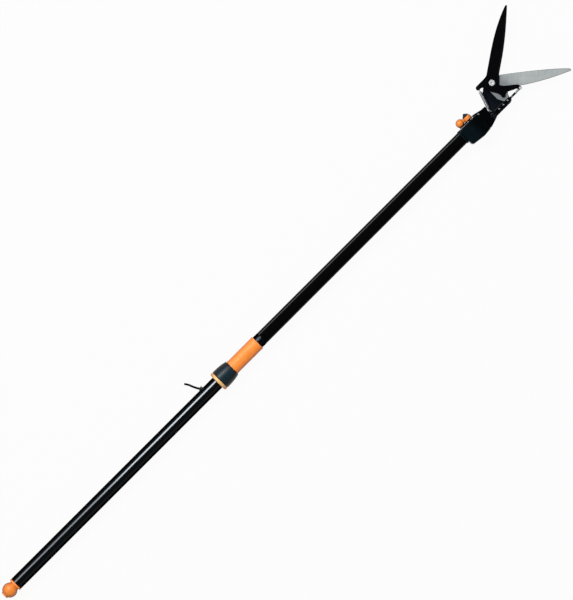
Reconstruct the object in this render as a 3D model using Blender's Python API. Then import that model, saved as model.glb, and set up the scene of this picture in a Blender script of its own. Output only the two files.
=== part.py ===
"""Telescopic hedge shears: a telescoping pole with a pull knob at its lower end
and a tilting shear head, closed by a pull rod, a cable and a link chain.

Sizes are in millimetres and become metres when a mesh is made. x runs along
the pole towards the blades, y across it, and z up, counted from the pole's
centre line. The origin is on the flat back of the head housing, under the
clamp lever, and the whole tool lies on that back and on its guard ring.
"""

import math

import bmesh
import bpy
import numpy as np
from mathutils import Vector

MM = 0.001
GAP = 0.3                    # between two pieces that touch
RUNNING = 0.6                # round a piece that turns or slides
BIG, MEDIUM, SMALL = 28, 20, 10

# Pole
TUBE_RADIUS = 18.0
TUBE_WALL = 1.5
LOWER_START = -1684.3
POLE_STEP = -797.4           # where the sleeve ends and the upper pole starts
UPPER_START = -780.8
UPPER_END = -10.0
PROFILE_WIDTH = 2 * TUBE_RADIUS
PROFILE_DEPTH = 27.0
PROFILE_CORNER = 8.5
PROFILE_WALL = 1.6
PROFILE_SIZING = 0.15        # the end in the housing is drawn this much smaller
BUSH_WALL = 1.5
INNER_RADIUS = TUBE_RADIUS - TUBE_WALL - BUSH_WALL
INNER_WALL = 1.5
INNER_START = -1550.0
ROD_RADIUS = 2.5
PULL_TUBE_RADIUS = 4.5
PULL_TUBE_END = -900.0

# Grip
RING_RADIUS = TUBE_RADIUS + 10.0
RING_LENGTH = 9.0
FLARE_LENGTH = 44.7
SLEEVE_RADIUS = TUBE_RADIUS + 2.8
SLEEVE_LENGTH = 93.1
SLEEVE_LIP = 4.0
AXIS_HEIGHT = RING_RADIUS

# Pull knob
KNOB_RADIUS = TUBE_RADIUS + 1.8
KNOB_CENTRE = LOWER_START - 23.9
KNOB_NECK = 13.8
KNOB_BOSS = 10.4
COLLAR_LENGTH = 6.2

# Telescope lock
LEVER_X = -989.0
LEVER_PIVOT_Y = TUBE_RADIUS + 4.2
LEVER_THICK = 4.2
LEVER_WIDTH = 10.0
LEVER_HUB = 2.6
LEVER_PIN = 1.1
PLUNGER_REACH = 5.6
PLUNGER_RADIUS = 1.6
SADDLE_WALL = 0.9

LINK_RADIUS = 3.3            # a chain link's end

# Head housing
HOUSING_START = -45.5
HOUSING_TOP = PROFILE_WIDTH / 2 + 0.7
HOUSING_FRONT = 26.0
HOUSING_BACK = AXIS_HEIGHT
BODY_END = 26.0
SLOT_HALF = 8.4
SLOT_START = 38.0
EAR_DEPTH = 17.0
EAR_RADIUS = 11.0
TRUNNION_X = 52.0
CHAIN_Y = -14.8
TRUNNION_RADIUS = 3.0
CAVITY_TOP = 2.0
CAVITY_FLOOR = CHAIN_Y - LINK_RADIUS - 1.4
CAVITY_HALF = 6.0
ROLLER_RADIUS = 4.5
ROLLER_PIN = 2.0
ROLLER_PLACE = (30.0, CHAIN_Y - LINK_RADIUS - 0.4 - ROLLER_RADIUS, 0)
RIVET_PLACE = (27.2, 13.3, 0)
SCREW_PLACES = [(-29.0, -PROFILE_WIDTH / 2 - 4.6), (12.0, -26.4), (14.0, 11.6)]

# Clamp lever
CLAMP_HUB = 11.6
EAR_START = CLAMP_HUB + 1.0
CLAMP_BALL = 11.4
CLAMP_REACH = 23.4
CLAMP_BALL_Y = HOUSING_TOP + 11.8
CLAMP_BOLT = 3.5

# Blades
PIVOT_X = 109.7
PIVOT_Y = 46.8
BLADE_LENGTH = 206.2
OPEN_ANGLE = 34.6
FIXED_ANGLE = -35.7
FIXED_TIP = BLADE_LENGTH + 3.3
CLOSE_TURN = 70.5            # degrees the moving blade turns
BLADE_THICK = 2.7
MOVING_THICK = 3.0
BEVEL_WIDTH = 4.5
BEVEL_FADE = 70.0             # the bevel narrows over this length before the tip
FIXED_BASE = 0.9             # z of the fixed blade's back
MOVING_BASE = FIXED_BASE + BLADE_THICK + GAP
MOVING_TOP = MOVING_BASE + MOVING_THICK
BOLT_RADIUS = 4.0
BOLT_HEAD = 8.3
BLADE_RIVETS = [(99.0, 24.0), (101.0, 0.0)]

# Bracket
WEB_BACK = -7.5
WEB_TOP = -4.7
PAD_TOP = FIXED_BASE - GAP
LUG_HALF = 8.0
LUG_RADIUS = 7.5
TRACK_END = 109.2

# Chain
CHAIN_LINKS = 6
CHAIN_START = 61.0
LINK_WAIST = 2.2
PLATE_THICK = 0.7
INNER_PLATE = 1.3            # z of an inner plate's inside
OUTER_PLATE = 2.3
LINK_PIN = 1.2
ARM_HEIGHT = PIVOT_Y - CHAIN_Y
ARM_REACH = ARM_HEIGHT * math.tan(math.radians(CLOSE_TURN / 2))
STROKE = 2 * ARM_REACH
ARM_X = PIVOT_X + ARM_REACH

# Return spring
ANCHOR = (53.6, -3.0)
SPRING_EYE = (PIVOT_X - 34.3, PIVOT_Y + 15.4)
SPRING_Z = -0.4
SPRING_WIRE = 0.65
SPRING_MEAN = 3.2
SPRING_CURLS = 27
SPRING_POINTS = 8
EYE_LENGTH = 10.0

ORANGE = (0.93, 0.30, 0.03)
BLACK = (0.012, 0.013, 0.016)
STEEL = (0.55, 0.56, 0.57)

joint_frames = {}


def clear_scene():
    for item in list(bpy.data.objects):
        bpy.data.objects.remove(item, do_unlink=True)


def make_material(name, colour, roughness, metallic):
    material = bpy.data.materials.new(name)
    material.use_nodes = True
    shader = material.node_tree.nodes["Principled BSDF"]
    shader.inputs["Base Color"].default_value = (*colour, 1.0)
    shader.inputs["Roughness"].default_value = roughness
    shader.inputs["Metallic"].default_value = metallic
    return material


def joint_frame(name, x, y, z=0.0, parent=None):
    """An empty on a joint's axis, which the pieces of the moving body hang on."""
    empty = bpy.data.objects.new(name, None)
    bpy.context.scene.collection.objects.link(empty)
    place = Vector((x, y, z + AXIS_HEIGHT)) * MM
    if parent:
        empty.parent = joint_frames[parent][0]
        empty.location = place - joint_frames[parent][1]
    else:
        empty.location = place
    joint_frames[name] = (empty, place)


def finish_mesh(name, bm, material, frame=None, angle=35):
    """Turn a bmesh in pole millimetres into an object on its joint's frame."""
    bmesh.ops.remove_doubles(bm, verts=bm.verts, dist=0.001)
    bmesh.ops.recalc_face_normals(bm, faces=bm.faces)
    origin = joint_frames[frame][1] if frame else Vector((0, 0, 0))
    for vert in bm.verts:
        vert.co = (vert.co + Vector((0, 0, AXIS_HEIGHT))) * MM - origin
    mesh = bpy.data.meshes.new(name)
    bm.to_mesh(mesh)
    bm.free()
    mesh.shade_smooth()
    mesh.set_sharp_from_angle(angle=math.radians(angle))
    part = bpy.data.objects.new(name, mesh)
    bpy.context.scene.collection.objects.link(part)
    if frame:
        part.parent = joint_frames[frame][0]
    if material:
        mesh.materials.append(make_material(name, *material))
    return part


def combine(part, tool, operation="DIFFERENCE"):
    """Cut or join a hidden tool shape to a part with an exact boolean."""
    tool.hide_render = True
    tool.display_type = "WIRE"
    step = part.modifiers.new(tool.name, "BOOLEAN")
    step.operation = operation
    step.solver = "EXACT"
    step.object = tool
    return part


def on_axis(axis, along, across, other):
    """A point with one coordinate along the named axis."""
    return {"X": (along, across, other),
            "Y": (other, along, across),
            "Z": (across, other, along)}[axis]


def turned(name, profile, axis="X", centre=(0, 0, 0), sides=BIG, material=None,
           frame=None, angle=35):
    """Revolve a profile of (distance along the axis, radius) pairs. A profile
    that leaves the axis at both ends is closed on itself and has a bore."""
    bm = bmesh.new()
    rings = []
    for along, radius in profile:
        count = 1 if radius == 0 else sides
        ring = []
        for step in range(count):
            turn = 2 * math.pi * (step + 0.5) / sides
            offset = on_axis(axis, along, radius * math.cos(turn), radius * math.sin(turn))
            ring.append(bm.verts.new(Vector(centre) + Vector(offset)))
        rings.append(ring)
    pairs = list(zip(rings, rings[1:]))
    if len(rings[0]) > 1:
        pairs.append((rings[-1], rings[0]))
    for first, second in pairs:
        for step in range(sides):
            after = (step + 1) % sides
            corners = [first[step % len(first)], first[after % len(first)],
                       second[after % len(second)], second[step % len(second)]]
            corners = list(dict.fromkeys(corners))
            if len(corners) > 2:
                bm.faces.new(corners)
    return finish_mesh(name, bm, material, frame, angle)


def pin(name, radius, start, end, axis="Z", centre=(0, 0, 0), sides=SMALL, **options):
    """A plain round bar."""
    profile = [(start, 0), (start, radius), (end, radius), (end, 0)]
    return turned(name, profile, axis, centre, sides, **options)


def loft(name, rings, material=None, frame=None, angle=35, hollow=False):
    """Join rings of equally many points, with flat ends, or as a closed wall."""
    bm = bmesh.new()
    loops = [[bm.verts.new(point) for point in ring] for ring in rings]
    count = len(loops[0])
    pairs = list(zip(loops, loops[1:]))
    if hollow:
        pairs.append((loops[-1], loops[0]))
    for first, second in pairs:
        for step in range(count):
            after = (step + 1) % count
            bm.faces.new([first[step], first[after], second[after], second[step]])
    if not hollow:
        bm.faces.new(loops[0])
        bm.faces.new(loops[-1])
    return finish_mesh(name, bm, material, frame, angle)


def plate(name, outline, low, high, **options):
    """A flat plate: an outline in x and y between two heights."""
    return loft(name, [[(x, y, z) for x, y in outline] for z in (low, high)], **options)


def arc(x, y, radius, start, end, count=8):
    """Points along an arc, in degrees."""
    turns = np.radians(np.linspace(start, end, count))
    return [(x + radius * math.cos(turn), y + radius * math.sin(turn)) for turn in turns]


def disc(x, y, radius, sides=SMALL):
    return arc(x, y, radius, 0, 360 - 360 / sides, sides)


def box(name, x, y, z):
    """A block between two corners, for cuts."""
    return plate(name, [(x[0], y[0]), (x[1], y[0]), (x[1], y[1]), (x[0], y[1])], *z)


def rounded(corners, steps=5):
    """A closed outline from (x, y, radius) corners, each rounded by an arc."""
    outline = []
    count = len(corners)
    for index, (x, y, radius) in enumerate(corners):
        here = Vector((x, y))
        before = (Vector(corners[index - 1][:2]) - here).normalized()
        after = (Vector(corners[(index + 1) % count][:2]) - here).normalized()
        half = before.angle(after) / 2
        if radius == 0 or half > math.radians(76):
            outline.append((x, y))
            continue
        middle = here + (before + after).normalized() * radius / math.sin(half)
        reach = radius / math.tan(half)
        first = here + before * reach - middle
        last = here + after * reach - middle
        swing = first.angle_signed(last)
        for step in range(steps + 1):
            turn = -swing * step / steps
            outline.append((middle.x + first.x * math.cos(turn) - first.y * math.sin(turn),
                            middle.y + first.x * math.sin(turn) + first.y * math.cos(turn)))
    return outline


def inset(outline, distance):
    """Move each point of a counter-clockwise outline inwards by a distance."""
    points = np.array(outline, float)
    before = points - np.roll(points, 1, axis=0)
    after = np.roll(points, -1, axis=0) - points
    before /= np.linalg.norm(before, axis=1)[:, None]
    after /= np.linalg.norm(after, axis=1)[:, None]
    normal = np.stack([-(before + after)[:, 1], (before + after)[:, 0]], axis=1)
    normal /= np.linalg.norm(normal, axis=1)[:, None]
    stretch = 1 / np.clip((normal * np.stack([-after[:, 1], after[:, 0]], axis=1)).sum(axis=1),
                          0.6, 1)
    return [tuple(point) for point in points + normal * (distance * stretch)[:, None]]


def profile_section(width, depth, corner, x, steps=5):
    """A rounded rectangle across the pole, width along y and depth along z."""
    w, d = width / 2, depth / 2
    outline = rounded([(w, d, corner), (-w, d, corner), (-w, -d, corner), (w, -d, corner)],
                      steps)
    return [(x, y, z) for y, z in outline]


def build_lower_pole():
    """The round lower tube, its bottom collar and its two guide bushes."""
    front = POLE_STEP - SLEEVE_LIP - 4.6
    bore = TUBE_RADIUS - TUBE_WALL
    tube = turned("lower_tube", [(LOWER_START, TUBE_RADIUS), (front, TUBE_RADIUS), (front, bore),
                                 (LOWER_START, bore)], material=(BLACK, 0.22, 0.6))
    hole = pin("plunger_hole", PLUNGER_RADIUS + GAP, 0, 30, "Y",
               (LEVER_X + PLUNGER_REACH, 0, 0))
    combine(tube, hole)
    collar_end = LOWER_START - GAP
    guide = PULL_TUBE_RADIUS + GAP
    spigot = bore - GAP
    turned("end_collar", [(collar_end - COLLAR_LENGTH, guide),
                          (collar_end - COLLAR_LENGTH, TUBE_RADIUS - 0.6),
                          (collar_end - COLLAR_LENGTH + 0.8, TUBE_RADIUS + 0.2),
                          (collar_end, TUBE_RADIUS + 0.2), (collar_end, spigot),
                          (collar_end + 22, spigot), (collar_end + 22, spigot - 3),
                          (collar_end + 4, spigot - 3), (collar_end + 4, guide + 3),
                          (collar_end + 22, guide + 3), (collar_end + 22, guide)],
           material=(ORANGE, 0.4, 0.0))
    slide = INNER_RADIUS + GAP
    turned("front_bush", [(front - 26, slide), (front - 26, spigot), (front + GAP, spigot),
                          (front + GAP, TUBE_RADIUS), (front + 3.7, TUBE_RADIUS),
                          (front + 3.7, slide)], sides=MEDIUM, material=(BLACK, 0.5, 0.0))


def build_grip():
    """Guard ring, flared boot and sleeve, fixed on the lower tube."""
    inner = TUBE_RADIUS + GAP
    end = POLE_STEP - GAP
    start = end - SLEEVE_LENGTH
    rim = SLEEVE_RADIUS - 0.5
    turned("grip_sleeve", [(start, inner), (start, rim), (start + 0.8, SLEEVE_RADIUS),
                           (start + 3.2, SLEEVE_RADIUS), (start + 4, rim), (end - 4, rim),
                           (end - 3.2, SLEEVE_RADIUS), (end - 0.8, SLEEVE_RADIUS), (end, rim - 0.3),
                           (end, INNER_RADIUS + GAP), (end - SLEEVE_LIP, INNER_RADIUS + GAP),
                           (end - SLEEVE_LIP, inner)], material=(ORANGE, 0.38, 0.0))
    flare_end = start - GAP
    mouth = RING_RADIUS - 1.8
    flare_start = flare_end - FLARE_LENGTH + GAP
    profile = [(flare_start, inner), (flare_start, RING_RADIUS - 0.8)]
    for step in range(6):
        share = step / 5
        radius = mouth + (rim - 0.3 - mouth) * share ** 1.7
        profile.append((flare_start + 1.8 + (FLARE_LENGTH - 2.6) * share, radius))
    profile += [(flare_end, rim - 0.9), (flare_end, inner)]
    turned("grip_flare", profile, material=(BLACK, 0.45, 0.0))
    ring_end = flare_start - GAP
    ring_start = ring_end - RING_LENGTH
    turned("guard_ring", [(ring_start, inner), (ring_start, RING_RADIUS - 3.2),
                          (ring_start + 1.0, RING_RADIUS - 1.2), (ring_start + 2.8, RING_RADIUS),
                          (ring_end - 1.6, RING_RADIUS), (ring_end, RING_RADIUS - 1.0),
                          (ring_end, inner)], material=(ORANGE, 0.38, 0.0))


def build_knob():
    """The ball at the pole's lower end, with its plug and the pull tube."""
    neck = LOWER_START - 2 * GAP - COLLAR_LENGTH
    bore = PULL_TUBE_RADIUS + GAP
    profile = [(neck, bore), (neck, KNOB_NECK)]
    start = math.asin(KNOB_NECK / KNOB_RADIUS)
    stop = math.pi - math.asin((KNOB_BOSS + 1) / KNOB_RADIUS)
    for turn in np.linspace(start, stop, 9):
        profile.append((KNOB_CENTRE + KNOB_RADIUS * math.cos(turn),
                        KNOB_RADIUS * math.sin(turn)))
    face = KNOB_CENTRE + KNOB_RADIUS * math.cos(stop)
    profile += [(face + 1.2, KNOB_BOSS), (face + 1.2, bore)]
    turned("ball_knob", profile, material=(ORANGE, 0.35, 0.0), frame="knob_frame", angle=30)
    plug = face + 1.2 - GAP
    turned("knob_plug", [(plug - 5, 0), (plug - 5, KNOB_BOSS - 1.2), (plug - 4, KNOB_BOSS - 0.3),
                         (plug - 1.4, KNOB_BOSS - 0.3), (plug - 1.0, KNOB_BOSS - 1),
                         (plug, KNOB_BOSS - 1), (plug, bore - GAP), (plug + 12, bore - GAP),
                         (plug + 12, 0)],
           material=(ORANGE, 0.35, 0.0), frame="knob_frame", sides=MEDIUM)
    inner = ROD_RADIUS + 0.5
    start = plug + 12 + GAP
    turned("pull_tube", [(start, inner), (start, PULL_TUBE_RADIUS),
                         (PULL_TUBE_END, PULL_TUBE_RADIUS), (PULL_TUBE_END, inner)],
           sides=MEDIUM, material=(STEEL, 0.35, 0.9), frame="knob_frame")


def build_telescope_lock():
    """The thin lever, its saddle on the tube, its pin and the brake plunger."""
    base = TUBE_RADIUS + GAP
    top = base + SADDLE_WALL
    half = 5.0
    outer = [(y, z) for z, y in arc(0, 0, top, 52, 128, 9)]
    inner = [(y, z) for z, y in arc(0, 0, base, 128, 52, 9)]
    ring = outer + inner
    saddle = loft("lever_saddle", [[(LEVER_X - half, y, z) for y, z in ring],
                                   [(LEVER_X + half + 4.5, y, z) for y, z in ring]],
                  material=(BLACK, 0.4, 0.0))
    ear_low = LEVER_WIDTH / 2 + GAP + 0.5
    foot = base - 0.9
    for side in (-1, 1):
        outline = [(LEVER_X - 3.8, foot), (LEVER_X + 3.8, foot)]
        outline += arc(LEVER_X, LEVER_PIVOT_Y, 2.5, 0, 180, 9)
        heights = sorted((side * ear_low, side * (ear_low + 1.8)))
        combine(saddle, plate(f"saddle_ear_{side}", outline, *heights), "UNION")
    combine(saddle, pin("saddle_bore", LEVER_PIN + 0.1, -20, 20, "Z", (LEVER_X, LEVER_PIVOT_Y, 0)))
    plunger_x = LEVER_X + PLUNGER_REACH
    combine(saddle, pin("saddle_guide", PLUNGER_RADIUS + GAP, 10, 30, "Y", (plunger_x, 0, 0)))
    reach = ear_low + 2.6
    turned("lever_pin", [(-reach, 0), (-reach, 1.8), (-reach + 0.5, 1.8),
                         (-reach + 0.5, LEVER_PIN), (reach, LEVER_PIN), (reach, 0)],
           "Z", (LEVER_X, LEVER_PIVOT_Y, 0), SMALL,
           material=(STEEL, 0.35, 1.0))
    spine = catmull([(LEVER_X + x, LEVER_PIVOT_Y + y) for x, y in
                     [(-0.8, 0.6), (-3.2, 3.9), (-8.4, 14.2), (-12.7, 24.9), (-16.4, 31.4),
                      (-20.0, 36.6)]], 3)
    outline = ribbon(spine, LEVER_THICK / 2)
    lever = plate("lock_lever", outline, -LEVER_WIDTH / 2, LEVER_WIDTH / 2,
                  material=(BLACK, 0.35, 0.3), frame="lever_frame")
    hub = pin("lever_hub", LEVER_HUB, -LEVER_WIDTH / 2, LEVER_WIDTH / 2, "Z",
              (LEVER_X, LEVER_PIVOT_Y, 0), 18, frame="lever_frame")
    combine(lever, hub, "UNION")
    stem_gap = PLUNGER_RADIUS + GAP
    heel_end = LEVER_X + PLUNGER_REACH + 1.6
    for side in (-1, 1):
        heights = sorted((side * stem_gap, side * (LEVER_WIDTH / 2)))
        outline = [(LEVER_X, LEVER_PIVOT_Y - 1.6), (heel_end, LEVER_PIVOT_Y - 1.6),
                   (heel_end, LEVER_PIVOT_Y), (LEVER_X, LEVER_PIVOT_Y)]
        heel = plate(f"lever_heel_{side}", outline, *heights, frame="lever_frame")
        combine(lever, heel, "UNION")
    combine(lever, pin("lever_bore", LEVER_PIN + GAP, -20, 20, "Z", (LEVER_X, LEVER_PIVOT_Y, 0),
                       frame="lever_frame"))
    low = INNER_RADIUS + GAP
    head = LEVER_PIVOT_Y + GAP
    turned("lock_plunger", [(low, 0), (low, PLUNGER_RADIUS - 0.4), (low + 0.5, PLUNGER_RADIUS),
                            (head, PLUNGER_RADIUS), (head, 2.6), (head + 0.9, 2.6),
                            (head + 1.3, 2.1), (head + 1.3, 0)], "Y", (plunger_x, 0, 0), SMALL,
           material=(STEEL, 0.35, 1.0), frame="plunger_frame")


def catmull(points, steps):
    """A smooth curve through all the points."""
    path = [np.array(point, float) for point in points]
    path = [2 * path[0] - path[1]] + path + [2 * path[-1] - path[-2]]
    curve = []
    for a, b, c, d in zip(path, path[1:], path[2:], path[3:]):
        for step in range(steps):
            t = step / steps
            curve.append(0.5 * (2 * b + (c - a) * t + (2 * a - 5 * b + 4 * c - d) * t ** 2
                                + (3 * b - 3 * c + d - a) * t ** 3))
    curve.append(path[-2])
    return curve


def ribbon(spine, half):
    """An outline at an even distance on both sides of a curve, tapered at its end."""
    left, right = [], []
    for index, point in enumerate(spine):
        ahead = spine[min(index + 1, len(spine) - 1)] - spine[max(index - 1, 0)]
        normal = np.array([-ahead[1], ahead[0]]) / np.linalg.norm(ahead)
        left.append(tuple(point + normal * half))
        right.append(tuple(point - normal * half))
    return left + right[::-1]


def sized_profile(space):
    """Width, depth and corner of the upper tube's drawn end, with space round it."""
    push = space - PROFILE_SIZING
    return PROFILE_WIDTH + 2 * push, PROFILE_DEPTH + 2 * push, PROFILE_CORNER + push


def build_upper_pole():
    """The inner tube that slides, the coupling and the flat-sided upper tube."""
    bore = INNER_RADIUS - INNER_WALL
    inner_end = POLE_STEP - GAP
    turned("inner_tube", [(INNER_START, INNER_RADIUS), (inner_end, INNER_RADIUS),
                          (inner_end, bore), (INNER_START, bore)],
           material=(STEEL, 0.35, 0.9), frame="telescope_frame")
    bush = TUBE_RADIUS - TUBE_WALL - GAP
    turned("rear_bush", [(INNER_START - 2, bore), (INNER_START - 2, bush), (INNER_START + 40, bush),
                         (INNER_START + 40, INNER_RADIUS + GAP), (INNER_START - GAP,
                         INNER_RADIUS + GAP), (INNER_START - GAP, bore)],
           sides=MEDIUM, material=(BLACK, 0.5, 0.0), frame="telescope_frame")
    spigot = bore - GAP
    collar_end = UPPER_START - GAP
    collar = turned("coupling_collar", [(POLE_STEP - 30, 0), (POLE_STEP - 30, spigot - 1),
                                        (POLE_STEP - 29, spigot), (POLE_STEP, spigot),
                                        (POLE_STEP, TUBE_RADIUS - 0.6),
                                        (POLE_STEP + 0.8, TUBE_RADIUS + 0.2),
                                        (collar_end - 0.8, TUBE_RADIUS + 0.2),
                                        (collar_end, TUBE_RADIUS - 0.4), (collar_end, 0)],
                    material=(BLACK, 0.2, 0.2), frame="telescope_frame")
    wall = 2 * (PROFILE_WALL + GAP)
    size = (PROFILE_WIDTH - wall, PROFILE_DEPTH - wall, PROFILE_CORNER - PROFILE_WALL)
    nose = loft("collar_nose", [profile_section(*size, collar_end - 1),
                                profile_section(*size, collar_end + 25)],
                frame="telescope_frame")
    combine(collar, nose, "UNION")
    combine(collar, pin("collar_bore", ROD_RADIUS + 0.5, POLE_STEP - 40, UPPER_START + 40, "X",
                        frame="telescope_frame"))
    wall = 2 * PROFILE_WALL
    hollow = (PROFILE_WIDTH - wall, PROFILE_DEPTH - wall, PROFILE_CORNER - PROFILE_WALL)
    full = (PROFILE_WIDTH, PROFILE_DEPTH, PROFILE_CORNER)
    tube = loft("upper_tube", [profile_section(*full, UPPER_START),
                               profile_section(*full, HOUSING_START - 1.0),
                               profile_section(*sized_profile(0), HOUSING_START - 0.8),
                               profile_section(*sized_profile(0), UPPER_END),
                               profile_section(*hollow, UPPER_END),
                               profile_section(*hollow, UPPER_START)],
                hollow=True, material=(BLACK, 0.45, 0.5), frame="telescope_frame")
    slot_start = TRUNNION_X - STROKE - 14
    combine(tube, box("chain_slot", (slot_start, UPPER_END + 5), (-PROFILE_WIDTH, -8),
                      (-LINK_RADIUS - 1.2, LINK_RADIUS + 1.2)))


def housing_outline():
    """The side view of the housing's body, counter-clockwise."""
    return rounded([(-39.5, -32.2, 8), (0, -37.2, 0), (BODY_END, -34.6, 6),
                    (BODY_END, HOUSING_TOP - 0.6, 6), (0, HOUSING_TOP, 0),
                    (-39.5, HOUSING_TOP - 0.6, 6)], 3)


def ear_outline():
    """The side view of the fork that carries the trunnions."""
    outline = [(EAR_START, 21.6), (EAR_START, -33.0), (29, -33.6), (38, -31.0), (46, -28.3)]
    outline += arc(TRUNNION_X, CHAIN_Y, EAR_RADIUS, -78, 58, 8)
    outline += [(50.2, -3.4), (53.6, 14.8), (52.2, 16.7), (39, 17.3), (26, 20.7),
                (EAR_START + 1.6, 23.0)]
    return outline


def shell(name, side, depth):
    """One half of the housing: body, socket for the pole, ear, bores and cavity."""
    outline = housing_outline()
    levels = [(-2.0, 0.0), (depth - 6, 0.0), (depth - 3.4, 0.5), (depth - 1.4, 1.6),
              (depth, 3.6)]
    rings = [[(x, y, side * z) for x, y in inset(outline, push)] for z, push in levels]
    frame = "telescope_frame"
    body = loft(name, rings, material=(BLACK, 0.42, 0.0), frame=frame)
    socket_size = (PROFILE_WIDTH + 3.2, PROFILE_DEPTH + 3.6, PROFILE_CORNER + 1.6)
    socket = loft(f"{name}_socket", [profile_section(*socket_size, HOUSING_START),
                                     profile_section(*socket_size, HOUSING_START + 12)],
                  frame=frame)
    combine(body, socket, "UNION")
    ear_levels = [(-2.0, 0.0), (EAR_DEPTH - 1.4, 0.0), (EAR_DEPTH, 1.4)]
    ear = loft(f"{name}_ear", [[(x, y, side * z) for x, y in inset(ear_outline(), push)]
                               for z, push in ear_levels], frame=frame)
    combine(body, ear, "UNION")
    if side > 0:
        rib = loft(f"{name}_rib", [[(x, y, z) for x, y in
                                    inset(rounded([(18.2, -31.5, 2), (24.8, -31.5, 2),
                                                   (24.8, 9, 2), (18.2, 9, 2)], 3), push)]
                                   for z, push in ((EAR_DEPTH + 2, 0), (depth + 0.8, 0),
                                                   (depth + 1.8, 1.2))], frame=frame)
        combine(body, rib, "UNION")
    half = box(f"{name}_half", (-200, 200), (-200, 200),
               sorted((side * GAP / 2, -side * 100)))
    combine(body, half)
    return body


def build_housing():
    """Two moulded shells with the pole's socket, the pull cavity and the fork."""
    frame = "telescope_frame"
    front = shell("housing_front", 1, HOUSING_FRONT)
    back = shell("housing_back", -1, HOUSING_BACK)
    socket = loft("socket_bore", [profile_section(*sized_profile(GAP), HOUSING_START - 5),
                                  profile_section(*sized_profile(GAP), UPPER_END + GAP)])
    cavity = box("pull_cavity", (UPPER_END - 30, SLOT_START + 5), (CAVITY_FLOOR, CAVITY_TOP),
                 (-CAVITY_HALF, CAVITY_HALF))
    slot = box("fork_slot", (SLOT_START, 90), (-60, 60), (-SLOT_HALF, SLOT_HALF))
    trunnion = pin("trunnion_bore", TRUNNION_RADIUS + GAP, -60, 60, "Z", (TRUNNION_X, CHAIN_Y, 0),
                   24)
    wide, narrow = ROLLER_RADIUS + RUNNING, ROLLER_PIN + 0.1
    roller = turned("roller_pocket", [(-12, 0), (-12, narrow), (-5.7, narrow), (-5.7, wide),
                                      (5.7, wide), (5.7, narrow), (12, narrow), (12, 0)],
                    "Z", ROLLER_PLACE, 16)
    bolt = pin("clamp_bore", CLAMP_BOLT + 0.4, 6, 60, "Y", (0, 0, 0), 20)
    pocket = pin("clamp_pocket", 6.5, 3.4, 8.6, "Y", (0, 0, 0), 18)
    seat = EAR_DEPTH - 0.01
    rivet = turned("rivet_bore", [(-60, 0), (-60, 3.4), (-seat, 3.4), (-seat, 1.6 + GAP),
                                  (seat, 1.6 + GAP), (seat, 3.4), (60, 3.4), (60, 0)],
                   "Z", RIVET_PLACE, 16)
    for part in (front, back):
        for tool in (socket, bolt, pocket, cavity, slot, trunnion, roller, rivet):
            combine(part, tool)
    for index, (x, y) in enumerate(SCREW_PLACES):
        hole = turned(f"screw_bore_{index}", [(-HOUSING_BACK - 1, 0), (-HOUSING_BACK - 1, 3.6),
                                              (-HOUSING_BACK + 4, 3.6), (-HOUSING_BACK + 4, 1.8),
                                              (12.5, 1.8), (12.5, 0)], "Z", (x, y, 0), SMALL)
        combine(front, hole)
        combine(back, hole)
        top = -HOUSING_BACK + 4 - GAP
        turned(f"housing_screw_{index + 1}", [(top - 2.2, 0), (top - 2.2, 2.4), (top - 1.4, 3.2),
                                              (top, 3.2), (top, 1.5), (12, 1.5), (12, 0)],
               "Z", (x, y, 0), SMALL, material=(STEEL, 0.3, 1.0), frame=frame)
    for side, name in ((1, "trunnion_screw_front"), (-1, "trunnion_screw_back")):
        base = EAR_DEPTH + GAP
        profile = [(side * z, r) for z, r in ((4.3, 0), (4.3, TRUNNION_RADIUS),
                                              (base, TRUNNION_RADIUS), (base, 7.0),
                                              (base + 1.6, 7.0), (base + 2.6, 6.0),
                                              (base + 2.8, 2.8), (base + 1.0, 2.6),
                                              (base + 1.0, 0))]
        turned(name, profile, "Z", (TRUNNION_X, CHAIN_Y, 0), MEDIUM, material=(STEEL, 0.35, 1.0),
               frame=frame)
    turned("guide_roller", [(-5, ROLLER_PIN + GAP), (-5, ROLLER_RADIUS), (-3.4, ROLLER_RADIUS - 0.7),
                            (3.4, ROLLER_RADIUS - 0.7), (5, ROLLER_RADIUS), (5, ROLLER_PIN + GAP)],
           "Z", ROLLER_PLACE, 20, material=(BLACK, 0.5, 0.0), frame=frame)
    pin("roller_pin", ROLLER_PIN, -11.7, 11.7, "Z", ROLLER_PLACE, 12, material=(STEEL, 0.35, 1.0),
        frame=frame)
    x, y, _ = RIVET_PLACE
    high, low = EAR_DEPTH + GAP, -EAR_DEPTH - GAP
    turned("fork_rivet", [(low - 1.2, 0), (low - 1.0, 2.2), (low, 3.0), (low, 1.6), (high, 1.6),
                          (high, 3.0), (high + 1.0, 2.2), (high + 1.2, 0)], "Z", (x, y, 0), 16,
           material=(STEEL, 0.25, 1.0), frame=frame)


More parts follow.
